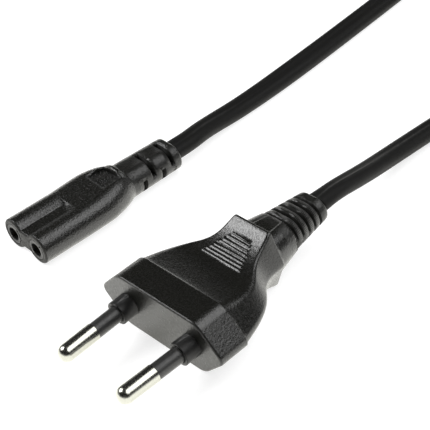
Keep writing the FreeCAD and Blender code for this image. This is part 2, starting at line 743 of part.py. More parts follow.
def boot_grooves():
    """Grooves round the boot, cut deep on the sides and over the top by turns."""
    reach = S.grip_half_width.value
    grooves = []
    for number in range(S.rib_count.count):
        y = S.rib_first.value + S.rib_step.value * number
        start = y - S.rib_groove.value / 2
        slab = Part.makeBox(2 * reach, S.rib_groove.value, 2 * reach, Vector(-reach, start, -reach))
        width, height = boot_half(y)
        along = Vector(0, S.rib_groove.value, 0)
        shallow = Part.Face(stadium_wire(width - S.rib_depth.value, height - S.rib_depth.value, start)).extrude(along)
        if number % 2:
            deep = stadium_wire(width - S.rib_depth.value, height - S.rib_cut.value, start)
        else:
            deep = stadium_wire(width - S.rib_cut.value, height - S.rib_depth.value, start)
        grooves.append(slab.cut(shallow.common(Part.Face(deep).extrude(along))))
    return grooves


def ramp_ridges():
    """Fine ridges across the finger ramps, shorter towards the wedge."""
    ridges = []
    count = S.ridge_count.count
    for number in range(count):
        y = S.ridge_first.value + S.ridge_step.value * number
        share = number / (count - 1)
        half = S.ridge_long.value + (S.ridge_short.value - S.ridge_long.value) * share
        root = S.ridge_rise.value * 2
        bar = Part.makeBox(2 * half, S.ridge_width.value, root + S.ridge_rise.value,
                           Vector(-half, -S.ridge_width.value / 2, -root))
        slope = math.degrees(math.asin((y - S.waist_y.value) / ramp_radius()))
        bar.rotate(Vector(0, 0, 0), Vector(1, 0, 0), slope)
        bar.translate(Vector(0, y, grip_half_height(y)))
        under = bar.copy()
        under.rotate(Vector(0, 0, 0), Vector(0, 1, 0), 180)
        ridges += [bar, under]
    return ridges


def plug_outside():
    """The plug's overmould from outside, before its cavities."""
    block_wire = hexagon_wire(0.0, S.block_half_width.value, S.block_half_height.value,
                              S.block_half_height.value, S.block_corner.value, S.block_apex.value)
    block = Part.Face(block_wire).extrude(Vector(0, S.block_depth.value, 0))
    block = block.makeFillet(S.block_edge.value, [e for e in block.Edges if e.BoundBox.YMax < 0.01])
    sections = [grip_section(*station) for station in GRIP_STATIONS]
    grip = Part.makeLoft(sections, True)
    land = Part.Face(sections[-1]).extrude(Vector(0, S.wedge_y.value - S.ramp_end.value, 0))
    back = [e for e in land.Edges if e.BoundBox.YMin > S.wedge_y.value - 0.01]
    land = land.makeFillet(S.wedge_edge.value, back)
    slim = 0.25
    neck = Part.makeLoft([
        stadium_wire(S.grip_half_width.value - slim, S.neck_half_height.value, S.wedge_y.value - slim),
        stadium_wire(S.boot_half_width.value + slim, S.boot_half_height.value + slim, S.boot_y.value)], True, True)
    boot = Part.makeLoft([
        stadium_wire(S.boot_half_width.value, S.boot_half_height.value, S.boot_y.value),
        stadium_wire(S.tail_half_width.value, S.tail_half_height.value, S.boot_end.value)], True, True)
    boot = boot.makeFillet(S.relief_edge.value, [e for e in boot.Edges if e.BoundBox.YMin > S.boot_end.value - 0.01])
    whole = block.fuse([grip, land, neck, boot]).cut(boot_grooves())
    return whole.fuse(ramp_ridges()).removeSplitter()


def pin_lean():
    """How far each pin leans from the plug's Y axis, in radians."""
    return math.atan((S.pin_base_half.value - S.pin_tip_half.value) / S.pin_length.value)


def on_pin(side, along):
    """A point of a pin's axis, from its distance behind the plug's face."""
    lean = pin_lean()
    return Vector(side * (S.pin_base_half.value + along * math.sin(lean)), along * math.cos(lean), 0)


def pin_rod(side, diameter, start, end):
    """A round solid along a pin's axis."""
    foot = on_pin(side, start)
    return Part.makeCylinder(diameter / 2, end - start, foot, on_pin(side, end) - foot)


def plug_core_route(side):
    """One core from its pin's crimp to the end of the boot."""
    start = on_pin(side, S.tail_end.value)
    onward = on_pin(side, S.tail_end.value + 2.4)
    middle = side * S.core_half_pitch.value
    return [start, onward, (side * 3.6, 25.5, 0), (middle, 31.0, 0), (middle, S.boot_end.value, 0)]


def bridge_outside():
    """The block that holds the pins, with its two collars."""
    block = Part.makeBox(2 * S.bridge_half_width.value, S.bridge_end.value - S.bridge_start.value,
                         2 * S.bridge_half_height.value,
                         Vector(-S.bridge_half_width.value, S.bridge_start.value, -S.bridge_half_height.value))
    collars = [pin_rod(side, S.ring_dia.value, -S.ring_length.value, S.bridge_start.value + 1.0) for _, side in SIDES]
    return block.fuse(collars)


def pin_space(side):
    """What the pin and its sleeve take out of the bridge."""
    sleeve = pin_rod(side, S.sleeve_dia.value, -S.sleeve_length.value, S.sleeve_seat.value)
    shank = pin_rod(side, S.pin_shank.value, 0.0, S.bridge_end.value + 1.0)
    collar = pin_rod(side, S.pin_collar.value, S.collar_start.value, S.collar_end.value)
    return sleeve.fuse([shank, collar])


def plug_tilt():
    """The plug rests on its block's lower edge and its lower wedge, so it lies nose down."""
    edge = S.block_edge.value
    run = S.ramp_end.value - edge
    rise = S.wedge_half_height.value - S.block_half_height.value + edge
    return math.atan(rise / run) - math.asin(edge / math.hypot(run, rise))


def plug_place():
    """The plug's placement: on the surface, beside the connector."""
    tilt = plug_tilt()
    edge = S.block_edge.value
    height = (S.block_half_height.value - edge) * math.cos(tilt) + edge - edge * math.sin(tilt)
    turn = Rotation(Vector(0, 0, 1), S.plug_turn.value)
    nod = Rotation(Vector(1, 0, 0), math.degrees(tilt))
    return Placement(Vector(S.plug_x.value, S.plug_y.value - S.connector_length.value / 2, height), turn * nod)


def make_plug():
    place = plug_place()
    core_routes = {name: plug_core_route(side) for name, side in SIDES}
    bridge = bridge_outside()
    hollow = [bridge]
    for name, side in SIDES:
        hollow.append(pin_rod(side, S.tail_dia.value, S.bridge_end.value - 0.5, S.tail_end.value))
        hollow.append(round_rod(core_routes[name], S.core_dia.value))
    feature("plug_body", plug_outside().cut(hollow), place)
    feature("pin_bridge", bridge.cut([pin_space(side) for _, side in SIDES]), place)
    for name, side in SIDES:
        half, shank = S.pin_dia / 2, S.pin_shank / 2
        tail, strands = S.tail_dia / 2, S.strands_dia / 2 + S.fit_gap
        pin = revolved("pin_" + name, (
            (0.0, -S.pin_length),
            (half, -S.pin_length),
            (half, -S.sleeve_length),
            (shank, -S.sleeve_length),
            (shank, S.collar_start),
            (S.pin_collar / 2, S.collar_start),
            (S.pin_collar / 2, S.collar_end),
            (shank, S.collar_end),
            (shank, S.bridge_end - S.fit_gap * 2),
            (tail, S.bridge_end - S.fit_gap * 2),
            (tail, S.tail_end),
            (strands, S.tail_end),
            (strands, S.bridge_end),
            (0.0, S.bridge_end),
        ), (-S.pin_length, S.pin_dome))
        lean = Placement(on_pin(side, 0.0), Rotation(Vector(0, 0, 1), -side * math.degrees(pin_lean())))
        pin.Placement = place.multiply(lean)
        sleeve = pin_rod(side, S.sleeve_dia.value, -S.sleeve_length.value, S.sleeve_seat.value)
        feature("sleeve_" + name, sleeve.cut(pin_rod(side, S.pin_shank.value, -S.pin_length.value, S.bridge_end.value)),
                place)
        route = core_routes[name]
        rod = round_rod(route, S.core_dia.value)
        feature("plug_core_" + name, rod.cut(round_rod(route, S.strands_dia.value + 2 * S.fit_gap.value)), place)
        bared = pin_rod(side, S.strands_dia.value, S.bridge_end.value + 0.2, S.tail_end.value)
        strands = round_rod(route, S.strands_dia.value).fuse(bared).removeSplitter()
        feature("plug_strands_" + name, strands, place)


# Cord, coil and tie

def in_frame(point):
    """A point that is given from the connector's face, in the frame."""
    return Vector(point[0], point[1] - S.connector_length.value / 2, point[2])


def flat_cord(name, exit_place, points):
    """The flat twin cord from a moulding along a route, its width level all the way.

    The section starts in the plane of the moulding's end, where exit_place has its XZ plane.
    """
    straight = exit_place.multVec(Vector(0, S.exit_run.value, 0))
    path, radii = tangent_arcs([exit_place.Base, straight] + points)
    half_width, half_height = S.cord_width.value / 2, S.cord_thickness.value / 2
    section = stadium_wire(half_width, half_height)
    section.Placement = exit_place
    sweep = Part.BRepOffsetAPI.MakePipeShell(path)
    sweep.setBiNormalMode(Vector(0, 0, 1))
    sweep.add(section)
    sweep.build()
    sweep.makeSolid()
    solid = sweep.shape()
    area = Part.Face(section).Area
    print("%s: %.1f mm long, tightest radius %.0f mm, volume %.1f for %.1f"
          % (name, path.Length, min(radii), solid.Volume, area * path.Length))
    print("  radii " + " ".join("%.0f" % radius for radius in radii))
    return solid


def coil_turn_width():
    return S.cord_width.value + S.coil_slack.value


def coil_height():
    """Top of the coil, which lies on its tie."""
    layer = S.cord_thickness.value + S.coil_slack.value
    return S.tie_thickness.value + layer * (S.coil_layers.value - 1) + S.cord_thickness.value


def ring(low, high, inner, outer):
    """A ring round the coil's axis."""
    middle = in_frame((S.coil_x.value, S.coil_y.value, low))
    return Part.makeCylinder(outer, high - low, middle).cut(Part.makeCylinder(inner, high - low, middle))


def strap_band(low, high, reach):
    """A bar as wide as the tie, from the coil's axis outwards at the tie's bearing."""
    middle = in_frame((S.coil_x.value, S.coil_y.value, low))
    bar = Part.makeBox(reach, S.tie_width.value, high - low, middle - Vector(0, S.tie_width.value / 2, 0))
    bar.rotate(middle, Vector(0, 0, 1), S.tie_bearing.value)
    return bar


def make_cord():
    half_band = coil_turn_width() * (S.coil_turns.value / S.coil_layers.value + 1) / 2
    inner, outer = S.coil_radius.value - half_band, S.coil_radius.value + half_band
    lane = outer - coil_turn_width() / 2
    top = coil_height()
    layer = S.cord_thickness.value + S.coil_slack.value
    strap = S.tie_thickness.value
    tie = ring(0.0, top + strap, inner - strap, outer + strap).common(strap_band(0.0, top + strap, 2 * outer))
    tie = tie.cut(ring(strap, top, inner, outer))
    coil = ring(0.0, top, inner, outer).cut(tie)
    feature("cord_coil", coil)
    feature("coil_tie", tie)

    low_lane = S.cord_thickness.value / 2
    high_lane = low_lane + layer * (S.coil_layers.value - 1)
    exit_place = connector_place.multiply(Placement(Vector(0, S.connector_length.value, 0), Rotation()))
    route = [in_frame(p) for p in CONNECTOR_ROUTE]
    route.append(in_frame((S.coil_x.value - lane, S.coil_y.value, low_lane)))
    feature("cord_to_connector", flat_cord("cord_to_connector", exit_place, route).cut(coil))
    exit_place = plug_place().multiply(Placement(Vector(0, S.boot_end.value, 0), Rotation()))
    route = [in_frame(p) for p in PLUG_ROUTE]
    route.append(in_frame((S.coil_x.value + lane, S.coil_y.value, high_lane)))
    feature("cord_to_plug", flat_cord("cord_to_plug", exit_place, route).cut(coil))


make_connector()
make_plug()
make_cord()
doc.recompute()

NODES = (
    "connector_body", "contact_carrier", "contact_left", "contact_right",
    "connector_core_left", "connector_core_right", "connector_strands_left", "connector_strands_right",
    "plug_body", "pin_bridge", "pin_left", "pin_right", "sleeve_left", "sleeve_right",
    "plug_core_left", "plug_core_right", "plug_strands_left", "plug_strands_right",
    "cord_to_connector", "cord_coil", "cord_to_plug", "coil_tie",
)

for obj in doc.Objects:
    if "Invalid" in obj.State or "Error" in obj.State:
        raise RuntimeError("%s failed: %s" % (obj.Label, obj.State))
for name in NODES:
    shape = doc.getObjectsByLabel(name)[0].Shape
    if shape.isNull() or not shape.isValid() or len(shape.Solids) != 1:
        raise RuntimeError("%s is not one valid solid: %d" % (name, len(shape.Solids)))

os.makedirs("parts", exist_ok=True)
for name in NODES:
    doc.getObjectsByLabel(name)[0].Shape.exportStep("parts/%s.step" % name)
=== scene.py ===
"""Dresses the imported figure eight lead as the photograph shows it.

The mouldings get smooth skins and moulded finishes, the cord its real length with a coil and
its strap, and the whole lies on a plain white table under soft light. Names that end in _mm
hold millimetres, and a place among them is measured from the middle of the connector's face,
on the table. Other lengths are metres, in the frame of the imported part.
"""
import logging
import math
from dataclasses import dataclass
from enum import Enum
from typing import Any, Dict, List, Optional, Sequence, Tuple

import bmesh
import bpy
from mathutils import Matrix, Vector

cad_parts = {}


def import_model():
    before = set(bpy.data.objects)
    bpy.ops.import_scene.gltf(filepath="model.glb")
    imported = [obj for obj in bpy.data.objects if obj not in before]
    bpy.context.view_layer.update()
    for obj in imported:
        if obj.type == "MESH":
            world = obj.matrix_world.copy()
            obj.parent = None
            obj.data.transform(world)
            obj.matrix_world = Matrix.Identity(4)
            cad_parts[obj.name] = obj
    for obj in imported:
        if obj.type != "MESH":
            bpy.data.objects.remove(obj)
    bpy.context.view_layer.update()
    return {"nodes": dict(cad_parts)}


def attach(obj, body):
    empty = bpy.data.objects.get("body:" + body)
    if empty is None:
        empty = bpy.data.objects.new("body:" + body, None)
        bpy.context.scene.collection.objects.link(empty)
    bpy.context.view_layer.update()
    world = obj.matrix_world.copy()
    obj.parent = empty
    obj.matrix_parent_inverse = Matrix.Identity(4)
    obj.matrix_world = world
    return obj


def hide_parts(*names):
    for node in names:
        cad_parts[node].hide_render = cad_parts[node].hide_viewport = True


Pair = Tuple[float, float]
Point = Tuple[float, float, float]
Colour = Tuple[float, float, float, float]

LOG = logging.getLogger("figure_eight_lead")
MM = 0.001
CONNECTOR_HALF_LENGTH_MM = 21.5
WELD_M = 1e-6
PVC_IOR = 1.53
NYLON_IOR = 1.5
# Nearly all values of a noise texture lie between these two.
NOISE_LOW, NOISE_HIGH = 0.3, 0.7


# Small helpers

def srgb(code: str) -> Colour:
    """Turns an sRGB hex colour to linear.

    Args:
        code: the colour, such as "#1b1b1a".

    Returns:
        Its linear red, green and blue, and 1 for alpha.
    """
    channels = [int(code[i:i + 2], 16) / 255 for i in (1, 3, 5)]
    linear = [c / 12.92 if c <= 0.04045 else ((c + 0.055) / 1.055) ** 2.4 for c in channels]
    return (linear[0], linear[1], linear[2], 1.0)


def in_frame(x_mm: float, y_mm: float, z_mm: float) -> Vector:
    """Gives the place in the frame of a point measured from the connector's face.

    Args:
        x_mm: across the connector's two bores.
        y_mm: back from the connector's face.
        z_mm: up from the table.

    Returns:
        The point in metres.
    """
    return Vector((x_mm, y_mm - CONNECTOR_HALF_LENGTH_MM, z_mm)) * MM


def smoothstep(share: float) -> float:
    """Eases a share from 0 to 1, level at both ends."""
    share = min(1.0, max(0.0, share))
    return share * share * (3 - 2 * share)


def fill(tree: bpy.types.NodeTree, node: bpy.types.Node, **inputs: Any) -> None:
    """Sets or links the inputs of a node.

    Args:
        tree: the tree that the node is in.
        node: the node.
        **inputs: a value or an output socket for each input, by its name with _ for a space,
            or by i and its number where inputs share a name, as in a Mix node: its factor is
            i0, and its two colours are i6 and i7.
    """
    for name, value in inputs.items():
        numbered = name[0] == "i" and name[1:].isdigit()
        socket = node.inputs[int(name[1:]) if numbered else name.replace("_", " ")]
        if isinstance(value, bpy.types.NodeSocket):
            tree.links.new(value, socket)
        else:
            socket.default_value = value


def add_node(tree: bpy.types.NodeTree, kind: str, settings: Optional[Dict[str, Any]] = None,
             **inputs: Any) -> bpy.types.Node:
    """Adds a node, sets it up and links it.

    Args:
        tree: the node tree that gets it.
        kind: the node's type name.
        settings: its properties, by name.
        **inputs: its inputs, as fill takes them.

    Returns:
        The new node.
    """
    made = tree.nodes.new(kind)
    for name, value in (settings or {}).items():
        setattr(made, name, value)
    fill(tree, made, **inputs)
    return made


def cleared(holder: Any) -> bpy.types.NodeTree:
    """Turns on the nodes of a material or a world and clears them.

    Args:
        holder: the material or world.

    Returns:
        Its empty tree.
    """
    holder.use_nodes = True
    holder.node_tree.nodes.clear()
    return holder.node_tree


def placed(name: str, data: Any) -> bpy.types.Object:
    """Puts a mesh, curve, lamp or camera into the scene.

    Args:
        name: the object's name.
        data: what it shows.

    Returns:
        The object, at the origin.
    """
    made = bpy.data.objects.new(name, data)
    bpy.context.scene.collection.objects.link(made)
    return made


def applied(raw: bpy.types.Object, name: str) -> bpy.types.Object:
    """Turns an object with modifiers into a plain mesh object.

    Args:
        raw: the object, which is removed.
        name: the result's name.

    Returns:
        The plain object.
    """
    graph = bpy.context.evaluated_depsgraph_get()
    mesh = bpy.data.meshes.new_from_object(raw.evaluated_get(graph), depsgraph=graph)
    mesh.name = name
    bpy.data.objects.remove(raw)
    return placed(name, mesh)


# Finishes

class Grain(Enum):
    """How the mould's wall was finished, which the PVC copies: the grain's pitch and depth in mm.

    Real grain is about 0.1 mm across, too fine to show in the render, so it is drawn as coarse
    as it needs to show.
    """

    FINE = (0.5, 0.05)
    SPARKED = (0.5, 0.085)
    COARSE = (0.5, 0.12)
    BLASTED = (0.6, 0.16)
    PEBBLED = (1.3, 0.4)


@dataclass(frozen=True)
class Finish:
    """One finish of the lead.

    Attributes:
        name: the material's name.
    """

    name: str

    def shade(self, tree: bpy.types.NodeTree, shader: bpy.types.Node) -> None:
        """Sets the shader up.

        Args:
            tree: the material's tree.
            shader: its Principled BSDF.
        """
        raise NotImplementedError

    def material(self) -> bpy.types.Material:
        """Finds the finish's material, or makes it on the first call.

        Returns:
            The material.
        """
        found = bpy.data.materials.get(self.name)
        if found:
            return found
        made = bpy.data.materials.new(self.name)
        tree = cleared(made)
        shader = add_node(tree, "ShaderNodeBsdfPrincipled")
        add_node(tree, "ShaderNodeOutputMaterial", Surface=shader.outputs[0])
        self.shade(tree, shader)
        return made


@dataclass(frozen=True)
class MouldedPvc(Finish):
    """Soft PVC, injection moulded over the cord. It is near black with a satin gloss that the
    mould's grain breaks up into fine sparkle.

    Attributes:
        colour: the compound's colour.
        cloud_colour: the colour that it drifts to in faint clouds.
        cloud_mm: width of a cloud.
        grain: how the mould was finished.
        gloss: roughness of the skin between the grains.
        dulled: how much rougher a pit is.
        polished: how much smoother a peak is.
        sheen: share of the usual mirror reflection, less on an unpolished wall, cut low for
            painted shade.
    """

    colour: str = "#0f0f0d"
    cloud_colour: str = "#171714"
    cloud_mm: float = 3.5
    grain: Grain = Grain.SPARKED
    gloss: float = 0.32
    dulled: float = 0.1
    polished: float = 0.08
    sheen: float = 0.5

    def shade(self, tree: bpy.types.NodeTree, shader: bpy.types.Node) -> None:
        """Sets the shader up.

        Args:
            tree: the material's tree.
            shader: its Principled BSDF.
        """
        pitch_mm, depth_mm = self.grain.value
        place = add_node(tree, "ShaderNodeTexCoord").outputs["Object"]
        pits = add_node(tree, "ShaderNodeTexNoise", Vector=place, Scale=1 / (pitch_mm * MM),
                        Detail=2.5, Roughness=0.7)
        clouds = add_node(tree, "ShaderNodeTexNoise", Vector=place,
                          Scale=1 / (self.cloud_mm * MM), Detail=3.0)
        tone = add_node(tree, "ShaderNodeMapRange", Value=pits.outputs[0],
                        From_Min=NOISE_LOW, From_Max=NOISE_HIGH,
                        To_Min=self.gloss + self.dulled, To_Max=self.gloss - self.polished)
        compound = add_node(tree, "ShaderNodeMix", {"data_type": "RGBA"}, i0=clouds.outputs[0],
                            i6=srgb(self.colour), i7=srgb(self.cloud_colour))
        bump = add_node(tree, "ShaderNodeBump", Height=pits.outputs[0], Strength=1.0,
                        Distance=depth_mm * MM)
        fill(tree, shader, Base_Color=compound.outputs[2], Roughness=tone.outputs[0],
             Normal=bump.outputs[0], Specular_IOR_Level=self.sheen, IOR=PVC_IOR)


@dataclass(frozen=True)
class DrawnPvc(Finish):
    """PVC drawn over the cores by extrusion, smooth, with faint lines along the cord.

    Attributes:
        colour: the compound's colour.
        gloss: its roughness.
        sheen: share of the usual mirror reflection.
        line_mm: width of one line, wider than the die's real marks, so that it shows.
        line_run_mm: how far a line runs before it fades.
        line_depth_mm: how deep it is.
    """

    colour: str = "#0d0d0c"
    gloss: float = 0.6
    sheen: float = 0.16
    line_mm: float = 0.6
    line_run_mm: float = 20.0
    line_depth_mm: float = 0.02

    def shade(self, tree: bpy.types.NodeTree, shader: bpy.types.Node) -> None:
        """Sets the shader up.

        Args:
            tree: the material's tree.
            shader: its Principled BSDF.
        """
        run = add_node(tree, "ShaderNodeUVMap", {"uv_map": "run"}).outputs[0]
        drawn = add_node(tree, "ShaderNodeMapping", Vector=run,
                         Scale=(1 / (self.line_run_mm * MM), 1 / (self.line_mm * MM), 1.0))
        lines = add_node(tree, "ShaderNodeTexNoise", {"noise_dimensions": "2D"},
                         Vector=drawn.outputs[0], Scale=1.0, Detail=2.0)
        tone = add_node(tree, "ShaderNodeMapRange", Value=lines.outputs[0],
                        From_Min=NOISE_LOW, From_Max=NOISE_HIGH,
                        To_Min=self.gloss - 0.04, To_Max=self.gloss + 0.06)
        bump = add_node(tree, "ShaderNodeBump", Height=lines.outputs[0], Strength=0.25,
                        Distance=self.line_depth_mm * MM)
        fill(tree, shader, Base_Color=srgb(self.colour), Roughness=tone.outputs[0],
             Normal=bump.outputs[0], Specular_IOR_Level=self.sheen, IOR=PVC_IOR)


@dataclass(frozen=True)
class HardPlastic(Finish):
    """Glass-filled nylon or a like hard thermoplastic, moulded, a little rougher than PVC.

    Attributes:
        colour: the compound's colour.
        gloss: its roughness.
        grain_mm: pitch of its grain.
        grain_depth_mm: depth of its grain.
        sheen: share of the usual mirror reflection.
    """

    colour: str = "#191918"
    gloss: float = 0.4
    grain_mm: float = 0.25
    grain_depth_mm: float = 0.01
    sheen: float = 0.5

    def shade(self, tree: bpy.types.NodeTree, shader: bpy.types.Node) -> None:
        """Sets the shader up.

        Args:
            tree: the material's tree.
            shader: its Principled BSDF.
        """
        place = add_node(tree, "ShaderNodeTexCoord").outputs["Object"]
        grain = add_node(tree, "ShaderNodeTexNoise", Vector=place,
                         Scale=1 / (self.grain_mm * MM), Detail=2.0)
        tone = add_node(tree, "ShaderNodeMapRange", Value=grain.outputs[0],
                        From_Min=NOISE_LOW, From_Max=NOISE_HIGH,
                        To_Min=self.gloss - 0.05, To_Max=self.gloss + 0.05)
        bump = add_node(tree, "ShaderNodeBump", Height=grain.outputs[0], Strength=0.4,
                        Distance=self.grain_depth_mm * MM)
        fill(tree, shader, Base_Color=srgb(self.colour), Roughness=tone.outputs[0],
             Normal=bump.outputs[0], Specular_IOR_Level=self.sheen, IOR=NYLON_IOR)


@dataclass(frozen=True)
class PlatedMetal(Finish):
    """Metal that was turned, rolled or drawn, then plated or left bare.

    Attributes:
        colour: what it reflects at right angles.
        gloss: its roughness.
        gloss_spread: the least and the greatest roughness, as shares of gloss.
        line_mm: distance between the tool's lines on Y, wide enough to show.
        line_stretch: how much finer they are on Y than on X and Z.
        bare: whether the lines show in the colour too.
        line_tone: how dark a bare line is, as a share of the colour.
    """

    colour: str = "#d9d6cf"
    gloss: float = 0.12
    gloss_spread: Pair = (0.7, 1.5)
    line_mm: float = 0.12
    line_stretch: float = 0.35
    bare: bool = False
    line_tone: float = 0.78

    def shade(self, tree: bpy.types.NodeTree, shader: bpy.types.Node) -> None:
        """Sets the shader up.

        Args:
            tree: the material's tree.
            shader: its Principled BSDF.
        """
        smoothest, roughest = self.gloss_spread
        pitch = self.line_mm * MM
        wide, close = self.line_stretch / pitch, 1 / pitch
        place = add_node(tree, "ShaderNodeTexCoord").outputs["Object"]
        drawn = add_node(tree, "ShaderNodeMapping", Vector=place, Scale=(wide, close, wide))
        lines = add_node(tree, "ShaderNodeTexNoise", Vector=drawn.outputs[0], Scale=1.0,
                         Detail=2.0)
        tone = add_node(tree, "ShaderNodeMapRange", Value=lines.outputs[0],
                        From_Min=NOISE_LOW, From_Max=NOISE_HIGH,
                        To_Min=self.gloss * smoothest, To_Max=self.gloss * roughest)
        colour = srgb(self.colour)
        fill(tree, shader, Metallic=1.0, Roughness=tone.outputs[0])
        if self.bare:
            dark = (*(channel * self.line_tone for channel in colour[:3]), 1.0)
            worn = add_node(tree, "ShaderNodeMix", {"data_type": "RGBA"}, i0=lines.outputs[0],
                            i6=dark, i7=colour)
            fill(tree, shader, Base_Color=worn.outputs[2])
        else:
            fill(tree, shader, Base_Color=colour)


@dataclass(frozen=True)
class BrushedNylon(Finish):
    """Hook-and-loop tape: a fleece of fine nylon loops that scatters light.

    Attributes:
        colour: the colour between the loops.
        loop_colour: the colour of a loop.
        loop_mm: distance between loops.
        loop_depth_mm: how far a loop stands out.
        gloss: roughness.
        fuzz: how much the fleece lights up at its edges.
    """

    colour: str = "#161616"
    loop_colour: str = "#262626"
    loop_mm: float = 0.35
    loop_depth_mm: float = 0.15
    gloss: float = 0.9
    fuzz: float = 0.3

    def shade(self, tree: bpy.types.NodeTree, shader: bpy.types.Node) -> None:
        """Sets the shader up.

        Args:
            tree: the material's tree.
            shader: its Principled BSDF.
        """
        place = add_node(tree, "ShaderNodeTexCoord").outputs["Object"]
        loops = add_node(tree, "ShaderNodeTexVoronoi", {"feature": "SMOOTH_F1"}, Vector=place,
                         Scale=1 / (self.loop_mm * MM))
        fleece = add_node(tree, "ShaderNodeMix", {"data_type": "RGBA"}, i0=loops.outputs[0],
                          i6=srgb(self.loop_colour), i7=srgb(self.colour))
        bump = add_node(tree, "ShaderNodeBump", {"invert": True}, Height=loops.outputs[0],
                        Strength=0.9, Distance=self.loop_depth_mm * MM)
        fill(tree, shader, Base_Color=fleece.outputs[2], Roughness=self.gloss,
             Normal=bump.outputs[0], Sheen_Weight=self.fuzz)


# PVC from a spark-eroded mould: satin black that breaks a highlight into sparkle.
CONNECTOR_PVC = MouldedPvc("pvc_moulded_sparked", grain=Grain.COARSE, gloss=0.27)
# The floor of a thumb pad, under its pebbles: broad soft dimples.
THUMB_PVC = MouldedPvc("pvc_moulded_pebbled", grain=Grain.PEBBLED)
# A shot-blasted wall: dull, little mirror reflection; on the lip's front, painted shade.
FACE_PVC = MouldedPvc("pvc_moulded_face", grain=Grain.BLASTED, gloss=0.6, sheen=0.25)
# The strain reliefs: a little duller than the bodies.
RELIEF_PVC = MouldedPvc("pvc_moulded_relief", grain=Grain.COARSE, gloss=0.33, sheen=0.4)
# Painted shade in a narrow groove: matt and barely mirroring, so that it reads as a dark line.
GROOVE_SHADE_PVC = MouldedPvc("pvc_painted_groove_shade", gloss=0.6, sheen=0.1)
# The plug's body, from a finer mould: an even satin black.
PLUG_PVC = MouldedPvc("pvc_moulded_plug", grain=Grain.FINE, gloss=0.27, sheen=0.45)
# The plug's face, which mirrors the white table at a low angle and so looks grey.
PLUG_FACE_PVC = MouldedPvc("pvc_moulded_plug_face", gloss=0.34, sheen=0.31)
# The side of the plug's block, from a coarse mould: it glitters.
PLUG_SIDE_PVC = MouldedPvc("pvc_moulded_plug_side", grain=Grain.COARSE, gloss=0.3)
# PVC extruded over the cores: smooth, matt and darker than the mouldings.
CORD_PVC = DrawnPvc("pvc_drawn_cord")
# Glass-filled nylon, moulded: a dull ring round each bore and collar round each pin.
HARD_INSERT = HardPlastic("nylon_insert", colour="#10100f", gloss=0.45, sheen=0.3)
# Nylon moulded on the pins: smooth dark grey with a broad soft highlight.
PIN_SLEEVE = HardPlastic("nylon_sleeve", colour="#222221", gloss=0.42, grain_mm=0.6)
# Brass, turned and nickel plated: nearly a mirror, with faint lines.
NICKEL = PlatedMetal("nickel_plate_turned", colour="#a2a29a", gloss=0.2)
# Brass strip, rolled and tinned: pale yellow, with darker lines.
TINNED_BRASS = PlatedMetal("brass_strip_tinned", colour="#cdbd93", gloss=0.25, bare=True)
# Bare copper wires, drawn and stranded: warm, with darker lines between the wires.
COPPER = PlatedMetal("copper_strands_bare", colour="#c8724b", gloss=0.3, line_mm=0.2, bare=True)
# PVC extruded on the copper, blue and brown as is usual: smooth and a little glossy.
BLUE_CORE = HardPlastic("pvc_core_blue", colour="#1f4f9e", gloss=0.3, grain_mm=0.8)
BROWN_CORE = HardPlastic("pvc_core_brown", colour="#4a2a17", gloss=0.3, grain_mm=0.8)
# Woven nylon with raised loops: a dull black fleece.
TIE_TAPE = BrushedNylon("nylon_loop_tape")


# Mouldings

@dataclass(frozen=True)
class Patch:
    """A box: the faces of a skin whose middles lie in it get another finish.

    Attributes:
        finish: what they get.
        low_mm: the box's least corner.
        high_mm: its greatest corner.
    """

    finish: Finish
    low_mm: Point
    high_mm: Point


def bands(finish: Finish, low_mm: Pair, high_mm: Pair, middles_mm: Sequence[float],
          half_mm: float) -> List[Patch]:
    """Gives a row of like patches along Y.

    Args:
        finish: what their faces get.
        low_mm: their least X and Z.
        high_mm: their greatest X and Z.
        middles_mm: the Y of each patch's middle.
        half_mm: half of a patch's length on Y.

    Returns:
        The patches.
    """
    return [Patch(finish, (low_mm[0], middle - half_mm, low_mm[1]),
                  (high_mm[0], middle + half_mm, high_mm[1])) for middle in middles_mm]


@dataclass(frozen=True)
class SmoothSkin:
    """A CAD solid's own surface with its facets smoothed, in place of its loose triangles.

    Attributes:
        node: the CAD node.
        slot: its material slot in the record; not used.
        finish: what it is made of.
        patches: where it has another finish; a later patch covers an earlier one.
        crease: angle in degrees from which an edge stays sharp.
    """

    node: str
    slot: str
    finish: Finish
    patches: Sequence[Patch] = ()
    crease: float = 32.0

    def paint(self, mesh: bpy.types.Mesh) -> None:
        """Gives the mesh its finish and its patches.

        Args:
            mesh: the skin's mesh.
        """
        mesh.materials.clear()
        mesh.materials.append(self.finish.material())
        for number, patch in enumerate(self.patches, start=1):
            mesh.materials.append(patch.finish.material())
            first, last = in_frame(*patch.low_mm), in_frame(*patch.high_mm)
            for face in mesh.polygons:
                if all(a <= c <= b for a, c, b in zip(first, face.center, last)):
                    face.material_index = number
            held = sum(face.material_index == number for face in mesh.polygons)
            LOG.info("%s: %d faces of %s", self.node, held, patch.finish.name)

    def build(self, source: bpy.types.Object) -> bpy.types.Object:
        """Makes the skin and lets it stand for the node.

        Args:
            source: the CAD node's object.

        Returns:
            The skin.
        """
        mesh = source.data.copy()
        mesh.name = f"{self.node}_skin"
        made = bmesh.new()
        made.from_mesh(mesh)
        bmesh.ops.remove_doubles(made, verts=made.verts, dist=WELD_M)
        made.to_mesh(mesh)
        made.free()
        if mesh.has_custom_normals:
            mesh.normals_split_custom_set([(0.0, 0.0, 0.0)] * len(mesh.loops))
        self.paint(mesh)
        mesh.polygons.foreach_set("use_smooth", [True] * len(mesh.polygons))
        mesh.set_sharp_from_angle(angle=math.radians(self.crease))
        raw = placed(f"{self.node}_raw", mesh)
        weigh = raw.modifiers.new("weigh", "WEIGHTED_NORMAL")
        weigh.keep_sharp = True
        weigh.mode = "FACE_AREA"
        skin = applied(raw, f"{self.node}_skin")
        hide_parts(self.node)
        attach(skin, "root")
        return skin


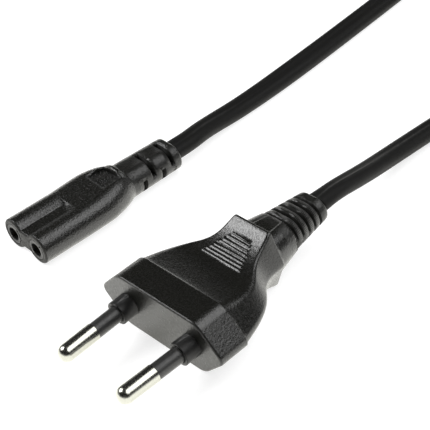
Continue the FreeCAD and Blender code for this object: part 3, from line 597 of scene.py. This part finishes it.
@dataclass(frozen=True)
class SubAssembly:
    """A moulded end of the lead, whose CAD nodes are dressed in turn.

    Attributes:
        skinned: node, material slot and finish of each solid that shows.
        hidden: node and finish of each solid inside, which keeps its CAD mesh.
    """

    skinned: Sequence[Tuple[str, str, Finish]] = ()
    hidden: Sequence[Tuple[str, Finish]] = ()

    def patches(self) -> Dict[str, Sequence[Patch]]:
        """Gives the patches of each node that has some."""
        return {}

    def build(self, nodes: Dict[str, bpy.types.Object]) -> List[bpy.types.Object]:
        """Dresses the nodes.

        Args:
            nodes: the frame's nodes, by name.

        Returns:
            The skins, and then the nodes inside.
        """
        patches = self.patches()
        pieces = []
        for name, slot, finish in self.skinned:
            skin = SmoothSkin(name, slot, finish, patches.get(name, ()))
            pieces.append(skin.build(nodes[name]))
            LOG.info("dressed %s", name)
        for name, finish in self.hidden:
            nodes[name].data.materials.clear()
            nodes[name].data.materials.append(finish.material())
            pieces.append(nodes[name])
            LOG.info("dressed %s", name)
        return pieces


@dataclass(frozen=True)
class Connector(SubAssembly):
    """The figure eight connector, with the insert, contacts, cores and strands in it.

    Attributes:
        slot_walls_mm: the walls of the slots in the strain relief.
        near_wall_mm: how far from a wall the middles of its faces may lie.
    """

    skinned: Sequence[Tuple[str, str, Finish]] = (
        ("connector_body", "pvc", CONNECTOR_PVC),
        ("contact_carrier", "carrier_black", HARD_INSERT))
    hidden: Sequence[Tuple[str, Finish]] = (
        ("contact_left", TINNED_BRASS), ("contact_right", TINNED_BRASS),
        ("connector_core_left", BLUE_CORE), ("connector_core_right", BROWN_CORE),
        ("connector_strands_left", COPPER), ("connector_strands_right", COPPER))
    slot_walls_mm: Sequence[float] = (30.8, 32.0, 33.7, 34.9, 36.6, 37.8, 39.5, 40.7)
    near_wall_mm: float = 0.03

    def patches(self) -> Dict[str, Sequence[Patch]]:
        """Gives the overmould's patches.

        Returns:
            The patches, by node.
        """
        relief = Patch(RELIEF_PVC, (-6.0, 28.3, 0.0), (6.0, 43.1, 9.0))
        # Painted shade: the slots' floors and walls get the dull groove finish, so that they read
        # dark.
        slot_floors = Patch(GROOVE_SHADE_PVC, (-3.4, 30.7, 1.3), (3.4, 40.8, 6.1))
        slot_walls = bands(GROOVE_SHADE_PVC, (-6.0, 0.0), (6.0, 8.0), self.slot_walls_mm,
                           self.near_wall_mm)
        # Painted shade: the lip's front is made dull and dark.
        lip_front = Patch(FACE_PVC, (-3.6, 25.95, 3.7), (3.6, 26.03, 9.0))
        face = Patch(FACE_PVC, (-9.0, -0.1, -0.1), (9.0, 0.3, 8.0))
        upper_pad = Patch(THUMB_PVC, (-3.5, 20.8, 6.9), (3.5, 26.1, 7.2))
        lower_pad = Patch(THUMB_PVC, (-3.5, 20.8, 0.9), (3.5, 26.1, 1.0))
        return {"connector_body": (relief, slot_floors, *slot_walls, lip_front, face,
                                   upper_pad, lower_pad)}


@dataclass(frozen=True)
class Plug(SubAssembly):
    """The flat two-pin plug, with its bridge, pins and sleeves and the cores and strands in it.

    Attributes:
        grooves: how many grooves part the ribs of its boot.
        first_groove_mm: the middle of the first.
        groove_pitch_mm: from one to the next.
        groove_half_mm: half the width of one.
    """

    skinned: Sequence[Tuple[str, str, Finish]] = (
        ("plug_body", "pvc", PLUG_PVC), ("pin_bridge", "carrier_black", HARD_INSERT),
        ("pin_left", "nickel", NICKEL), ("pin_right", "nickel", NICKEL),
        ("sleeve_left", "sleeve_black", PIN_SLEEVE), ("sleeve_right", "sleeve_black", PIN_SLEEVE))
    hidden: Sequence[Tuple[str, Finish]] = (
        ("plug_core_left", BLUE_CORE), ("plug_core_right", BROWN_CORE),
        ("plug_strands_left", COPPER), ("plug_strands_right", COPPER))
    grooves: int = 5
    first_groove_mm: float = 35.95
    groove_pitch_mm: float = 2.078
    groove_half_mm: float = 0.6

    def patches(self) -> Dict[str, Sequence[Patch]]:
        """Gives the overmould's patches.

        Returns:
            The patches, by node.
        """
        middles = [self.first_groove_mm + self.groove_pitch_mm * number
                   for number in range(self.grooves)]
        side = Patch(PLUG_SIDE_PVC, (60.0, 0.2, 0.0), (66.0, 9.2, 15.0))
        face = Patch(PLUG_FACE_PVC, (27.0, -0.4, 0.0), (66.0, 2.1, 15.0))
        boot = Patch(RELIEF_PVC, (34.0, 33.0, 0.0), (56.0, 49.0, 15.0))
        # Painted shade in the boot's grooves: the dull groove finish, so that each reads as a
        # dark line.
        grooves = bands(GROOVE_SHADE_PVC, (34.0, 0.0), (56.0, 15.0), middles, self.groove_half_mm)
        return {"plug_body": (side, face, boot, *grooves)}


# Cord and strap

def meshed(made: bmesh.types.BMesh, name: str, finish: Finish) -> bpy.types.Mesh:
    """Turns a bmesh's faces outwards and makes it a mesh.

    Args:
        made: the bmesh, which is freed.
        name: the mesh's name.
        finish: what it is made of.

    Returns:
        The mesh.
    """
    bmesh.ops.recalc_face_normals(made, faces=made.faces)
    mesh = bpy.data.meshes.new(name)
    made.to_mesh(mesh)
    made.free()
    mesh.materials.append(finish.material())
    return mesh


@dataclass(frozen=True)
class TwinCord:
    """The flat twin cord from the connector through its coil to the plug.

    Attributes:
        width_mm: across the two cores.
        thickness_mm: the other way.
        length_mm: from moulding to moulding.
        groove_mm: depth of the groove between the cores.
        exit_run_mm: straight run out of each moulding.
        coil_middle_mm: X and Y of the coil's axis.
        coil_radius_mm: from the axis to the middle of the coil's band.
        coil_turns: half of them lie below and half above.
        coil_slack_mm: gap between a turn and the next.
        crossing_turns: the share of a turn in which the cord climbs to the upper layer.
        points_a_turn: control points in a turn.
        strap_mm: thickness of the coil's strap.
        strap_width_mm: its width.
        strap_bearing: degrees from X round the coil to the strap.
        hump_end_mm: from the strap's middle to where the cord lies flat again.
        hump_run_mm: the run in which it rises onto the strap.
        connector_end_mm: where it leaves the connector.
        plug_end_mm: where it leaves the plug.
        plug_axis: the direction in which it leaves the plug.
        to_connector_mm: its route behind the connector, from the connector on.
        to_plug_mm: its route behind the plug, from the plug on.
        rolls_behind_connector: distances from the connector in mm, with the cord's roll about
            its own line there in degrees.
        rolls_behind_plug: the same from the plug.
    """

    width_mm: float = 6.0
    thickness_mm: float = 3.6
    length_mm: float = 1500.0
    groove_mm: float = 0.16
    exit_run_mm: float = 5.6
    coil_middle_mm: Pair = (28.5, 185.5)
    coil_radius_mm: float = 35.3
    coil_turns: float = 5.5
    coil_slack_mm: float = 0.2
    crossing_turns: float = 0.34
    points_a_turn: int = 24
    strap_mm: float = 0.9
    strap_width_mm: float = 14.0
    strap_bearing: float = 250.0
    hump_end_mm: float = 25.6
    hump_run_mm: float = 16.0
    connector_end_mm: Point = (0.0, 43.0, 3.7)
    plug_end_mm: Point = (44.6, 47.05, 7.83)
    plug_axis: Point = (-0.037, 0.999, 0.0248)
    to_connector_mm: Sequence[Point] = (
        (-1.2, 54.1, 3.3), (-2.15, 59.9, 2.5), (-2.75, 66.3, 1.9), (-3.15, 73.4, 1.8),
        (-3.7, 81.0, 1.8), (-4.6, 90.5, 1.8), (-5.9, 102.5, 1.8), (-7.4, 115.0, 1.8),
        (-9.05, 128.5, 1.8), (-10.95, 142.5, 1.8), (-13.05, 157.0, 1.8), (-14.6, 171.5, 1.8),
    )
    to_plug_mm: Sequence[Point] = (
        (43.95, 58.6, 7.0), (43.1, 64.7, 5.6), (42.0, 71.0, 4.2), (41.1, 78.4, 3.05),
        (40.5, 86.2, 2.2), (40.4, 95.0, 1.8), (41.6, 105.0, 1.8), (44.8, 115.5, 1.8),
        (49.3, 126.5, 1.8), (54.6, 137.5, 1.9), (60.2, 148.5, 2.7), (65.5, 160.0, 4.1),
        (69.8, 172.5, 5.2),
    )
    rolls_behind_connector: Sequence[Pair] = (
        (0.0, 0.0), (10.0, -4.0), (24.0, 0.0), (48.0, 10.0), (100.0, 10.0), (128.0, 0.0))
    rolls_behind_plug: Sequence[Pair] = (
        (0.0, 8.0), (5.0, 18.0), (14.0, 15.0), (36.0, 12.0), (70.0, 10.0), (100.0, 0.0))

    def coil_points(self) -> List[Vector]:
        """Lays the coil out: a flat spiral inwards and another outwards on top of it.

        Returns:
            Its control points.
        """
        pitch = self.width_mm + self.coil_slack_mm
        layer = self.thickness_mm + self.coil_slack_mm
        outer = self.coil_radius_mm + pitch * self.coil_turns / 2 / 2
        # A curve runs inside its control points, which this makes up for.
        swell = 1 / math.cos(math.pi / self.points_a_turn)
        middle_x, middle_y = self.coil_middle_mm
        points = []
        for step in range(round(self.coil_turns * self.points_a_turn) + 1):
            turn = step / self.points_a_turn
            inwards = min(turn, self.coil_turns - turn)
            radius = (outer - pitch * inwards) * swell
            climbed = smoothstep((turn - self.coil_turns / 2) / self.crossing_turns + 0.5)
            angle = math.pi - 2 * math.pi * turn
            off_strap = (math.degrees(angle) - self.strap_bearing + 180) % 360 - 180
            away = abs(off_strap) * math.pi / 180 * radius
            on_strap = smoothstep((self.hump_end_mm - away) / self.hump_run_mm)
            height = self.thickness_mm / 2 + layer * climbed + self.strap_mm * on_strap
            points.append(in_frame(middle_x + radius * math.cos(angle),
                                   middle_y + radius * math.sin(angle), height))
        return points

    def route(self) -> List[Vector]:
        """Lays the whole cord out, from the connector to the plug.

        Returns:
            Its control points.
        """
        start = in_frame(*self.connector_end_mm)
        end = in_frame(*self.plug_end_mm)
        straight = Vector((0, self.exit_run_mm * MM, 0))
        return [start, start + straight, *(in_frame(*place) for place in self.to_connector_mm),
                *self.coil_points(), *(in_frame(*place) for place in reversed(self.to_plug_mm)),
                end + Vector(self.plug_axis) * self.exit_run_mm * MM, end]

    def centreline(self) -> List[Vector]:
        """Draws the smooth curve that the control points make.

        Returns:
            Points along it.
        """
        line = bpy.data.curves.new("cord_line", "CURVE")
        line.dimensions = "3D"
        spline = line.splines.new("NURBS")
        points = self.route()
        spline.points.add(len(points) - 1)
        for held, point in zip(spline.points, points):
            held.co = (*point, 1.0)
        spline.order_u = 3
        spline.use_endpoint_u = True
        spline.resolution_u = 10
        holder = placed("cord_line", line)
        graph = bpy.context.evaluated_depsgraph_get()
        mesh = bpy.data.meshes.new_from_object(holder.evaluated_get(graph), depsgraph=graph)
        found = [vertex.co.copy() for vertex in mesh.vertices]
        bpy.data.meshes.remove(mesh)
        bpy.data.objects.remove(holder)
        bpy.data.curves.remove(line)
        return found

    @staticmethod
    def roll_at(stations: Sequence[Pair], along_mm: float) -> float:
        """Finds how far the cord is rolled about its own line.

        Args:
            stations: distances from the moulding with the roll there, in mm and degrees.
            along_mm: the distance that is asked for.

        Returns:
            The roll in radians, which eases from one station to the next.
        """
        for (start, first), (end, last) in zip(stations, stations[1:]):
            if along_mm < end:
                eased = smoothstep((along_mm - start) / (end - start))
                return math.radians(first + (last - first) * eased)
        return 0.0

    def section(self) -> List[Pair]:
        """Draws the cord's section: two round halves side by side with a shallow groove.

        Returns:
            Its outline, in metres.
        """
        arc_points = 9
        radius = self.thickness_mm / 2
        offset = self.width_mm / 2 - radius
        shoulder, flank = 0.75 * offset, 0.45 * offset
        flank_height = radius - 0.35 * self.groove_mm
        half = []
        for step in range(arc_points):
            angle = -math.pi / 2 + math.pi * step / (arc_points - 1)
            half.append((offset + radius * math.cos(angle), radius * math.sin(angle)))
        half += [(shoulder, radius), (flank, flank_height), (0.0, radius - self.groove_mm),
                 (-flank, flank_height), (-shoulder, radius)]
        return [(x * MM, y * MM) for x, y in half + [(-x, -y) for x, y in half]]

    def rings(self, made: bmesh.types.BMesh, path: Sequence[Vector], along: Sequence[float]
              ) -> Tuple[List[List[bmesh.types.BMVert]], List[Point]]:
        """Puts the section round each point of the path, rolled, and lifted as a roll needs.

        Args:
            made: the bmesh that gets the vertices.
            path: points along the cord.
            along: the distance to each of them from the connector.

        Returns:
            The vertices round each point, and the middle of each ring.
        """
        overhang = (self.width_mm - self.thickness_mm) / 2 * MM
        outline = self.section()
        rows, middles = [], []
        for index, point in enumerate(path):
            before, after = path[max(0, index - 1)], path[min(len(path) - 1, index + 1)]
            ahead = (after - before).normalized()
            side = ahead.cross(Vector((0, 0, 1))).normalized()
            up = side.cross(ahead)
            roll = (self.roll_at(self.rolls_behind_connector, along[index] / MM)
                    + self.roll_at(self.rolls_behind_plug, (along[-1] - along[index]) / MM))
            lift = overhang * abs(math.sin(roll))
            middle = point + Vector((lift, 0, lift))
            middles.append(tuple(middle))
            across = side * math.cos(roll) - up * math.sin(roll)
            over = up * math.cos(roll) + side * math.sin(roll)
            rows.append([made.verts.new(middle + across * x + over * y) for x, y in outline])
        return rows, middles

    def wall(self, made: bmesh.types.BMesh, rows: Sequence[Sequence[bmesh.types.BMVert]],
             along: Sequence[float]) -> None:
        """Joins the rings with faces, whose UV map holds metres along and round the cord.

        Args:
            made: the bmesh that gets the faces.
            rows: its vertices, ring by ring.
            along: the distance to each ring.
        """
        uv = made.loops.layers.uv.new("run")
        outline = self.section()
        around = len(outline)
        girth = [0.0]
        for start, end in zip(outline, outline[1:] + outline[:1]):
            girth.append(girth[-1] + math.dist(start, end))
        for index in range(len(rows) - 1):
            for k in range(around):
                following = (k + 1) % around
                face = made.faces.new((rows[index][k], rows[index][following],
                                       rows[index + 1][following], rows[index + 1][k]))
                face.smooth = True
                corners = ((index, k), (index, k + 1), (index + 1, k + 1), (index + 1, k))
                for loop, (i, j) in zip(face.loops, corners):
                    loop[uv].uv = (along[i], girth[j])
        made.faces.new(list(reversed(rows[0])))
        made.faces.new(rows[-1])

    def build(self, with_pieces: Sequence[bpy.types.Object]) -> bpy.types.Object:
        """Args:
            with_pieces: the pieces on its far end; not used.

        Returns:
            The cord.
        """
        path = self.centreline()
        along = [0.0]
        for before, point in zip(path, path[1:]):
            along.append(along[-1] + (point - before).length)
        made = bmesh.new()
        rows, middles = self.rings(made, path, along)
        self.wall(made, rows, along)
        cord = placed("twin_cord", meshed(made, "twin_cord", CORD_PVC))
        LOG.info("cord of %.0f mm in %d points", along[-1] / MM, len(path))
        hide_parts("cord_to_connector", "cord_coil", "cord_to_plug")
        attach(cord, "root")
        return cord


@dataclass(frozen=True)
class CoilStrap:
    """The loop of tape that holds the coil, bent round it at four corners.

    Attributes:
        coil: the cord whose coil it holds.
        bend_mm: the tape's outside radius at each corner.
        steps: faces round one corner, and across the tape.
        crease: angle in degrees from which an edge stays sharp.
    """

    coil: TwinCord
    bend_mm: float = 2.3
    steps: int = 8
    crease: float = 40.0

    def loop(self, inset_mm: float) -> List[Pair]:
        """Draws one side of the tape round the coil's band.

        Args:
            inset_mm: how far inside the tape's outer side it runs.

        Returns:
            Distances from the coil's axis and heights, in mm.
        """
        coil, bend = self.coil, self.bend_mm
        band = (coil.width_mm + coil.coil_slack_mm) * (coil.coil_turns / 2 + 1)
        half_band = band / 2 + coil.strap_mm
        near, far = coil.coil_radius_mm - half_band, coil.coil_radius_mm + half_band
        top = 2 * (coil.thickness_mm + coil.strap_mm) + coil.coil_slack_mm
        corners = ((far - bend, bend, -90), (far - bend, top - bend, 0),
                   (near + bend, top - bend, 90), (near + bend, bend, 180))
        radius = bend - inset_mm
        points = []
        for x, z, start in corners:
            for step in range(self.steps + 1):
                angle = math.radians(start + 90 * step / self.steps)
                points.append((x + radius * math.cos(angle), z + radius * math.sin(angle)))
        return points

    def rows(self, made: bmesh.types.BMesh) -> List[List[List[bmesh.types.BMVert]]]:
        """Places the tape's vertices.

        Args:
            made: the bmesh that gets them.

        Returns:
            For each line round the coil's band, its outer and its inner vertices.
        """
        bearing = math.radians(self.coil.strap_bearing)
        outwards = Vector((math.cos(bearing), math.sin(bearing), 0))
        across = Vector((-outwards.y, outwards.x, 0))
        axis = in_frame(*self.coil.coil_middle_mm, 0.0)
        sides = [self.loop(inset) for inset in (0.0, self.coil.strap_mm)]
        rows = []
        for step in range(self.steps + 1):
            aside = self.coil.strap_width_mm / 2 * (2 * step / self.steps - 1)
            rows.append([[made.verts.new(
                axis + (outwards * math.sqrt(away ** 2 - aside ** 2) + across * aside
                        + Vector((0, 0, height))) * MM) for away, height in side]
                         for side in sides])
        return rows

    def build(self) -> bpy.types.Object:
        """Makes the strap and lets it stand for the coil's tie.

        Returns:
            The strap.
        """
        made = bmesh.new()
        rows = self.rows(made)
        count = len(rows[0][0])
        for k in range(count):
            after = (k + 1) % count
            for row, following in zip(rows, rows[1:]):
                for near, far in zip(row, following):
                    made.faces.new((near[k], near[after], far[after], far[k]))
            for outer, inner in (rows[0], rows[-1]):
                made.faces.new((outer[k], outer[after], inner[after], inner[k]))
        mesh = meshed(made, "coil_strap", TIE_TAPE)
        mesh.polygons.foreach_set("use_smooth", [True] * len(mesh.polygons))
        mesh.set_sharp_from_angle(angle=math.radians(self.crease))
        strap = placed("coil_strap", mesh)
        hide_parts("coil_tie")
        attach(strap, "root")
        LOG.info("strap of %d faces", len(mesh.polygons))
        return strap


# Pebbles of the thumb pads

@dataclass(frozen=True)
class ThumbGrip:
    """The pebbles on the floors of the connector's two thumb pads.

    Attributes:
        half_width_mm: half the pebbled field.
        start_mm: its front.
        end_mm: its back.
        upper_mm: the upper floor over the table.
        lower_mm: the lower floor over the table.
        spacing_mm: least distance between two pebbles.
        radius_mm: one pebble.
        height_mm: how far it stands out.
        sizes: the smallest and the largest pebble, as shares of that.
        crowding: points tried in a square of the spacing, enough to fill the field.
        seed: of the scatter.
    """

    half_width_mm: float = 3.15
    start_mm: float = 21.2
    end_mm: float = 25.8
    upper_mm: float = 7.1
    lower_mm: float = 0.95
    spacing_mm: float = 0.44
    radius_mm: float = 0.21
    height_mm: float = 0.17
    sizes: Pair = (0.75, 1.2)
    crowding: float = 2.0
    seed: int = 7

    def tree(self) -> bpy.types.NodeTree:
        """Builds the tree that scatters low domes over a surface.

        Returns:
            The tree, with inputs for their spacing, radius, height, seed and finish.
        """
        tree = bpy.data.node_groups.new("pebbled_grip", "GeometryNodeTree")
        for name, kind in (("Geometry", "Geometry"), ("Spacing", "Float"), ("Radius", "Float"),
                           ("Height", "Float"), ("Seed", "Int"), ("Finish", "Material")):
            tree.interface.new_socket(name=name, in_out="INPUT", socket_type=f"NodeSocket{kind}")
        tree.interface.new_socket(name="Geometry", in_out="OUTPUT",
                                  socket_type="NodeSocketGeometry")
        smallest, largest = self.sizes
        given = add_node(tree, "NodeGroupInput").outputs
        square = add_node(tree, "ShaderNodeMath", {"operation": "MULTIPLY"},
                          i0=given["Spacing"], i1=given["Spacing"])
        density = add_node(tree, "ShaderNodeMath", {"operation": "DIVIDE"},
                           i0=self.crowding, i1=square.outputs[0])
        places = add_node(tree, "GeometryNodeDistributePointsOnFaces",
                          {"distribute_method": "POISSON"}, Mesh=given["Geometry"],
                          Distance_Min=given["Spacing"], Density_Max=density.outputs[0],
                          Seed=given["Seed"])
        dome = add_node(tree, "GeometryNodeMeshIcoSphere", Radius=given["Radius"],
                        Subdivisions=2)
        vary = add_node(tree, "FunctionNodeRandomValue", i2=smallest, i3=largest,
                        Seed=given["Seed"])
        flat = add_node(tree, "ShaderNodeMath", {"operation": "DIVIDE"}, i0=given["Height"],
                        i1=given["Radius"])
        high = add_node(tree, "ShaderNodeMath", {"operation": "MULTIPLY"}, i0=vary.outputs[1],
                        i1=flat.outputs[0])
        size = add_node(tree, "ShaderNodeCombineXYZ", X=vary.outputs[1], Y=vary.outputs[1],
                        Z=high.outputs[0])
        domes = add_node(tree, "GeometryNodeInstanceOnPoints", Points=places.outputs["Points"],
                         Instance=dome.outputs["Mesh"], Rotation=places.outputs["Rotation"],
                         Scale=size.outputs[0])
        real = add_node(tree, "GeometryNodeRealizeInstances", Geometry=domes.outputs[0])
        smooth = add_node(tree, "GeometryNodeSetShadeSmooth", Geometry=real.outputs[0])
        done = add_node(tree, "GeometryNodeSetMaterial", Geometry=smooth.outputs[0],
                        Material=given["Finish"])
        add_node(tree, "NodeGroupOutput", Geometry=done.outputs[0])
        return tree

    def build(self) -> bpy.types.Object:
        """Makes the pebbles of both pads.

        Returns:
            The piece.
        """
        half, start, end = self.half_width_mm, self.start_mm, self.end_mm
        corners = [(-half, start), (half, start), (half, end), (-half, end)]
        points = [in_frame(x, y, self.upper_mm) for x, y in corners]
        points += [in_frame(x, y, self.lower_mm) for x, y in reversed(corners)]
        mesh = bpy.data.meshes.new("thumb_floors")
        mesh.from_pydata(points, [], [(0, 1, 2, 3), (4, 5, 6, 7)])
        raw = placed("thumb_floors", mesh)
        grow = raw.modifiers.new("pebbles", "NODES")
        grow.node_group = self.tree()
        wanted = {"Spacing": self.spacing_mm * MM, "Radius": self.radius_mm * MM,
                  "Height": self.height_mm * MM, "Seed": self.seed,
                  "Finish": THUMB_PVC.material()}
        for item in grow.node_group.interface.items_tree:
            if item.in_out == "INPUT" and item.name in wanted:
                grow[item.identifier] = wanted[item.name]
        grip = applied(raw, "thumb_pebbles")
        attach(grip, "root")
        LOG.info("pebbles of %d faces", len(grip.data.polygons))
        return grip


# Table, light and camera

@dataclass(frozen=True)
class SoftLamp:
    """A large flat lamp.

    Attributes:
        name: its name.
        place: where it hangs, in metres.
        size: its two sides, in metres.
        power: watts.
    """

    name: str
    place: Point
    size: Pair
    power: float

    def hang(self, target: Point) -> None:
        """Adds the lamp.

        Args:
            target: what it points at, in metres.
        """
        data = bpy.data.lights.new(self.name, "AREA")
        data.shape = "RECTANGLE"
        data.size, data.size_y = self.size
        data.energy = self.power
        lamp = placed(self.name, data)
        lamp.location = self.place
        beam = Vector(target) - Vector(self.place)
        lamp.rotation_euler = beam.to_track_quat("-Z", "Y").to_euler()


@dataclass(frozen=True)
class Studio:
    """The white table, the soft lights and the camera of the photograph.

    Attributes:
        table_m: the table's side.
        table_colour: its paint.
        shadow_colour: its paint as the eye sees it, less light so that shadows stay faint.
        mirrored_colour: the tint of its light in what reflects it.
        table_seen: the light that the overexposed table adds to the eye near the object.
        seen_fade_m: the distances between which that light goes up to white.
        table_mirrored: the light that it adds to what reflects it.
        lamps: the soft lamps.
        aim: the place on the table that they point at, in metres.
        room_bands: the height on the sky where its light starts to fall, and where it ends.
        room_top: the light above that; below, it is 1.
        camera_mm: the camera's place.
        right: the picture's right, in the frame.
        down: the picture's down.
        lens_mm: focal length on a sensor of sensor_mm.
        clip_m: the nearest and the farthest that the camera sees.
    """

    table_m: float = 6.0
    table_colour: str = "#f4f4f4"
    shadow_colour: str = "#a8a8a8"
    mirrored_colour: str = "#fffef6"
    table_seen: float = 0.78
    seen_fade_m: Pair = (0.35, 1.1)
    table_mirrored: float = 1.5
    lamps: Sequence[SoftLamp] = (SoftLamp("soft_top", (0.43, 0.42, 0.9), (1.1, 0.7), 9.5),
                                 SoftLamp("soft_left", (-0.6, -0.36, 0.72), (0.5, 0.4), 9.0))
    aim: Point = (0.03, 0.03, 0.0)
    room_bands: Pair = (0.04, 0.26)
    room_top: float = 0.03
    camera_mm: Point = (208.6, -103.92, 185.06)
    right: Point = (0.66819, 0.73533, -0.11317)
    down: Point = (0.40339, -0.48589, -0.77536)
    lens_mm: float = 109.37
    sensor_mm: float = 36.0
    clip_m: Pair = (0.01, 20.0)

    def table_paint(self) -> bpy.types.Material:
        """Makes the table white to the eye and to what is glossy, with the shadows kept.

        Returns:
            The table's material.
        """
        surface = bpy.data.materials.new("table_white")
        tree = cleared(surface)
        near, far = self.seen_fade_m
        rays = add_node(tree, "ShaderNodeLightPath")
        paint = add_node(tree, "ShaderNodeBsdfDiffuse", Color=srgb(self.table_colour))
        pale = add_node(tree, "ShaderNodeBsdfDiffuse", Color=srgb(self.shadow_colour))
        place = add_node(tree, "ShaderNodeTexCoord").outputs["Object"]
        away = add_node(tree, "ShaderNodeVectorMath", {"operation": "LENGTH"}, i0=place)
        level = add_node(tree, "ShaderNodeMapRange", Value=away.outputs["Value"],
                         From_Min=near, From_Max=far, To_Min=self.table_seen, To_Max=1.0)
        lit = add_node(tree, "ShaderNodeEmission", Strength=level.outputs[0])
        seen = add_node(tree, "ShaderNodeAddShader", i0=pale.outputs[0], i1=lit.outputs[0])
        glow = add_node(tree, "ShaderNodeEmission", Color=srgb(self.mirrored_colour),
                        Strength=self.table_mirrored)
        mirrored = add_node(tree, "ShaderNodeAddShader", i0=paint.outputs[0],
                            i1=glow.outputs[0])
        plain = add_node(tree, "ShaderNodeMixShader", i0=rays.outputs["Is Glossy Ray"],
                         i1=paint.outputs[0], i2=mirrored.outputs[0])
        choose = add_node(tree, "ShaderNodeMixShader", i0=rays.outputs["Is Camera Ray"],
                          i1=plain.outputs[0], i2=seen.outputs[0])
        add_node(tree, "ShaderNodeOutputMaterial", Surface=choose.outputs[0])
        return surface

    def table(self) -> bpy.types.Object:
        """Makes the table's top.

        Returns:
            The table.
        """
        half = self.table_m / 2
        mesh = bpy.data.meshes.new("table_top")
        corners = [(-half, -half, 0.0), (half, -half, 0.0), (half, half, 0.0), (-half, half, 0.0)]
        mesh.from_pydata(corners, [], [(0, 1, 2, 3)])
        mesh.materials.append(self.table_paint())
        table = placed("table_top", mesh)
        return table

    def light(self) -> None:
        """Hangs the lamps and sets up the room: pale low down, dark above, white to the eye."""
        for lamp in self.lamps:
            lamp.hang(self.aim)
        world = bpy.data.worlds.new("room")
        bpy.context.scene.world = world
        tree = cleared(world)
        low, high = self.room_bands
        looking = add_node(tree, "ShaderNodeTexCoord").outputs["Generated"]
        height = add_node(tree, "ShaderNodeSeparateXYZ", Vector=looking)
        level = add_node(tree, "ShaderNodeMapRange", Value=height.outputs["Z"], From_Min=low,
                         From_Max=high, To_Min=1.0, To_Max=self.room_top)
        dim = add_node(tree, "ShaderNodeBackground", Color=srgb("#ffffff"),
                       Strength=level.outputs[0])
        white = add_node(tree, "ShaderNodeBackground", Color=srgb("#ffffff"), Strength=1.0)
        rays = add_node(tree, "ShaderNodeLightPath")
        choose = add_node(tree, "ShaderNodeMixShader", i0=rays.outputs["Is Camera Ray"],
                          i1=dim.outputs[0], i2=white.outputs[0])
        add_node(tree, "ShaderNodeOutputWorld", Surface=choose.outputs[0])

    def camera(self) -> bpy.types.Object:
        """Stands the camera where the photograph was taken from.

        Returns:
            The camera.
        """
        data = bpy.data.cameras.new("photo_camera")
        data.sensor_width = self.sensor_mm
        data.lens = self.lens_mm
        data.clip_start, data.clip_end = self.clip_m
        camera = placed("photo_camera", data)
        right, up = Vector(self.right).normalized(), -Vector(self.down).normalized()
        back = right.cross(up).normalized()
        turn = Matrix((right, up, back)).transposed()
        camera.matrix_world = Matrix.Translation(in_frame(*self.camera_mm)) @ turn.to_4x4()
        bpy.context.scene.camera = camera
        return camera


def main() -> None:
    """Builds everything in order."""
    logging.basicConfig(level=logging.INFO)
    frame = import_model()
    Connector().build(frame["nodes"])
    on_plug = Plug().build(frame["nodes"])
    cord = TwinCord()
    cord.build([*on_plug, CoilStrap(cord).build()])
    ThumbGrip().build()
    studio = Studio()
    studio.table()
    studio.light()
    studio.camera()
    bpy.context.scene.view_settings.view_transform = "Standard"
    bpy.context.view_layer.update()


if __name__ == "__main__":
    main()
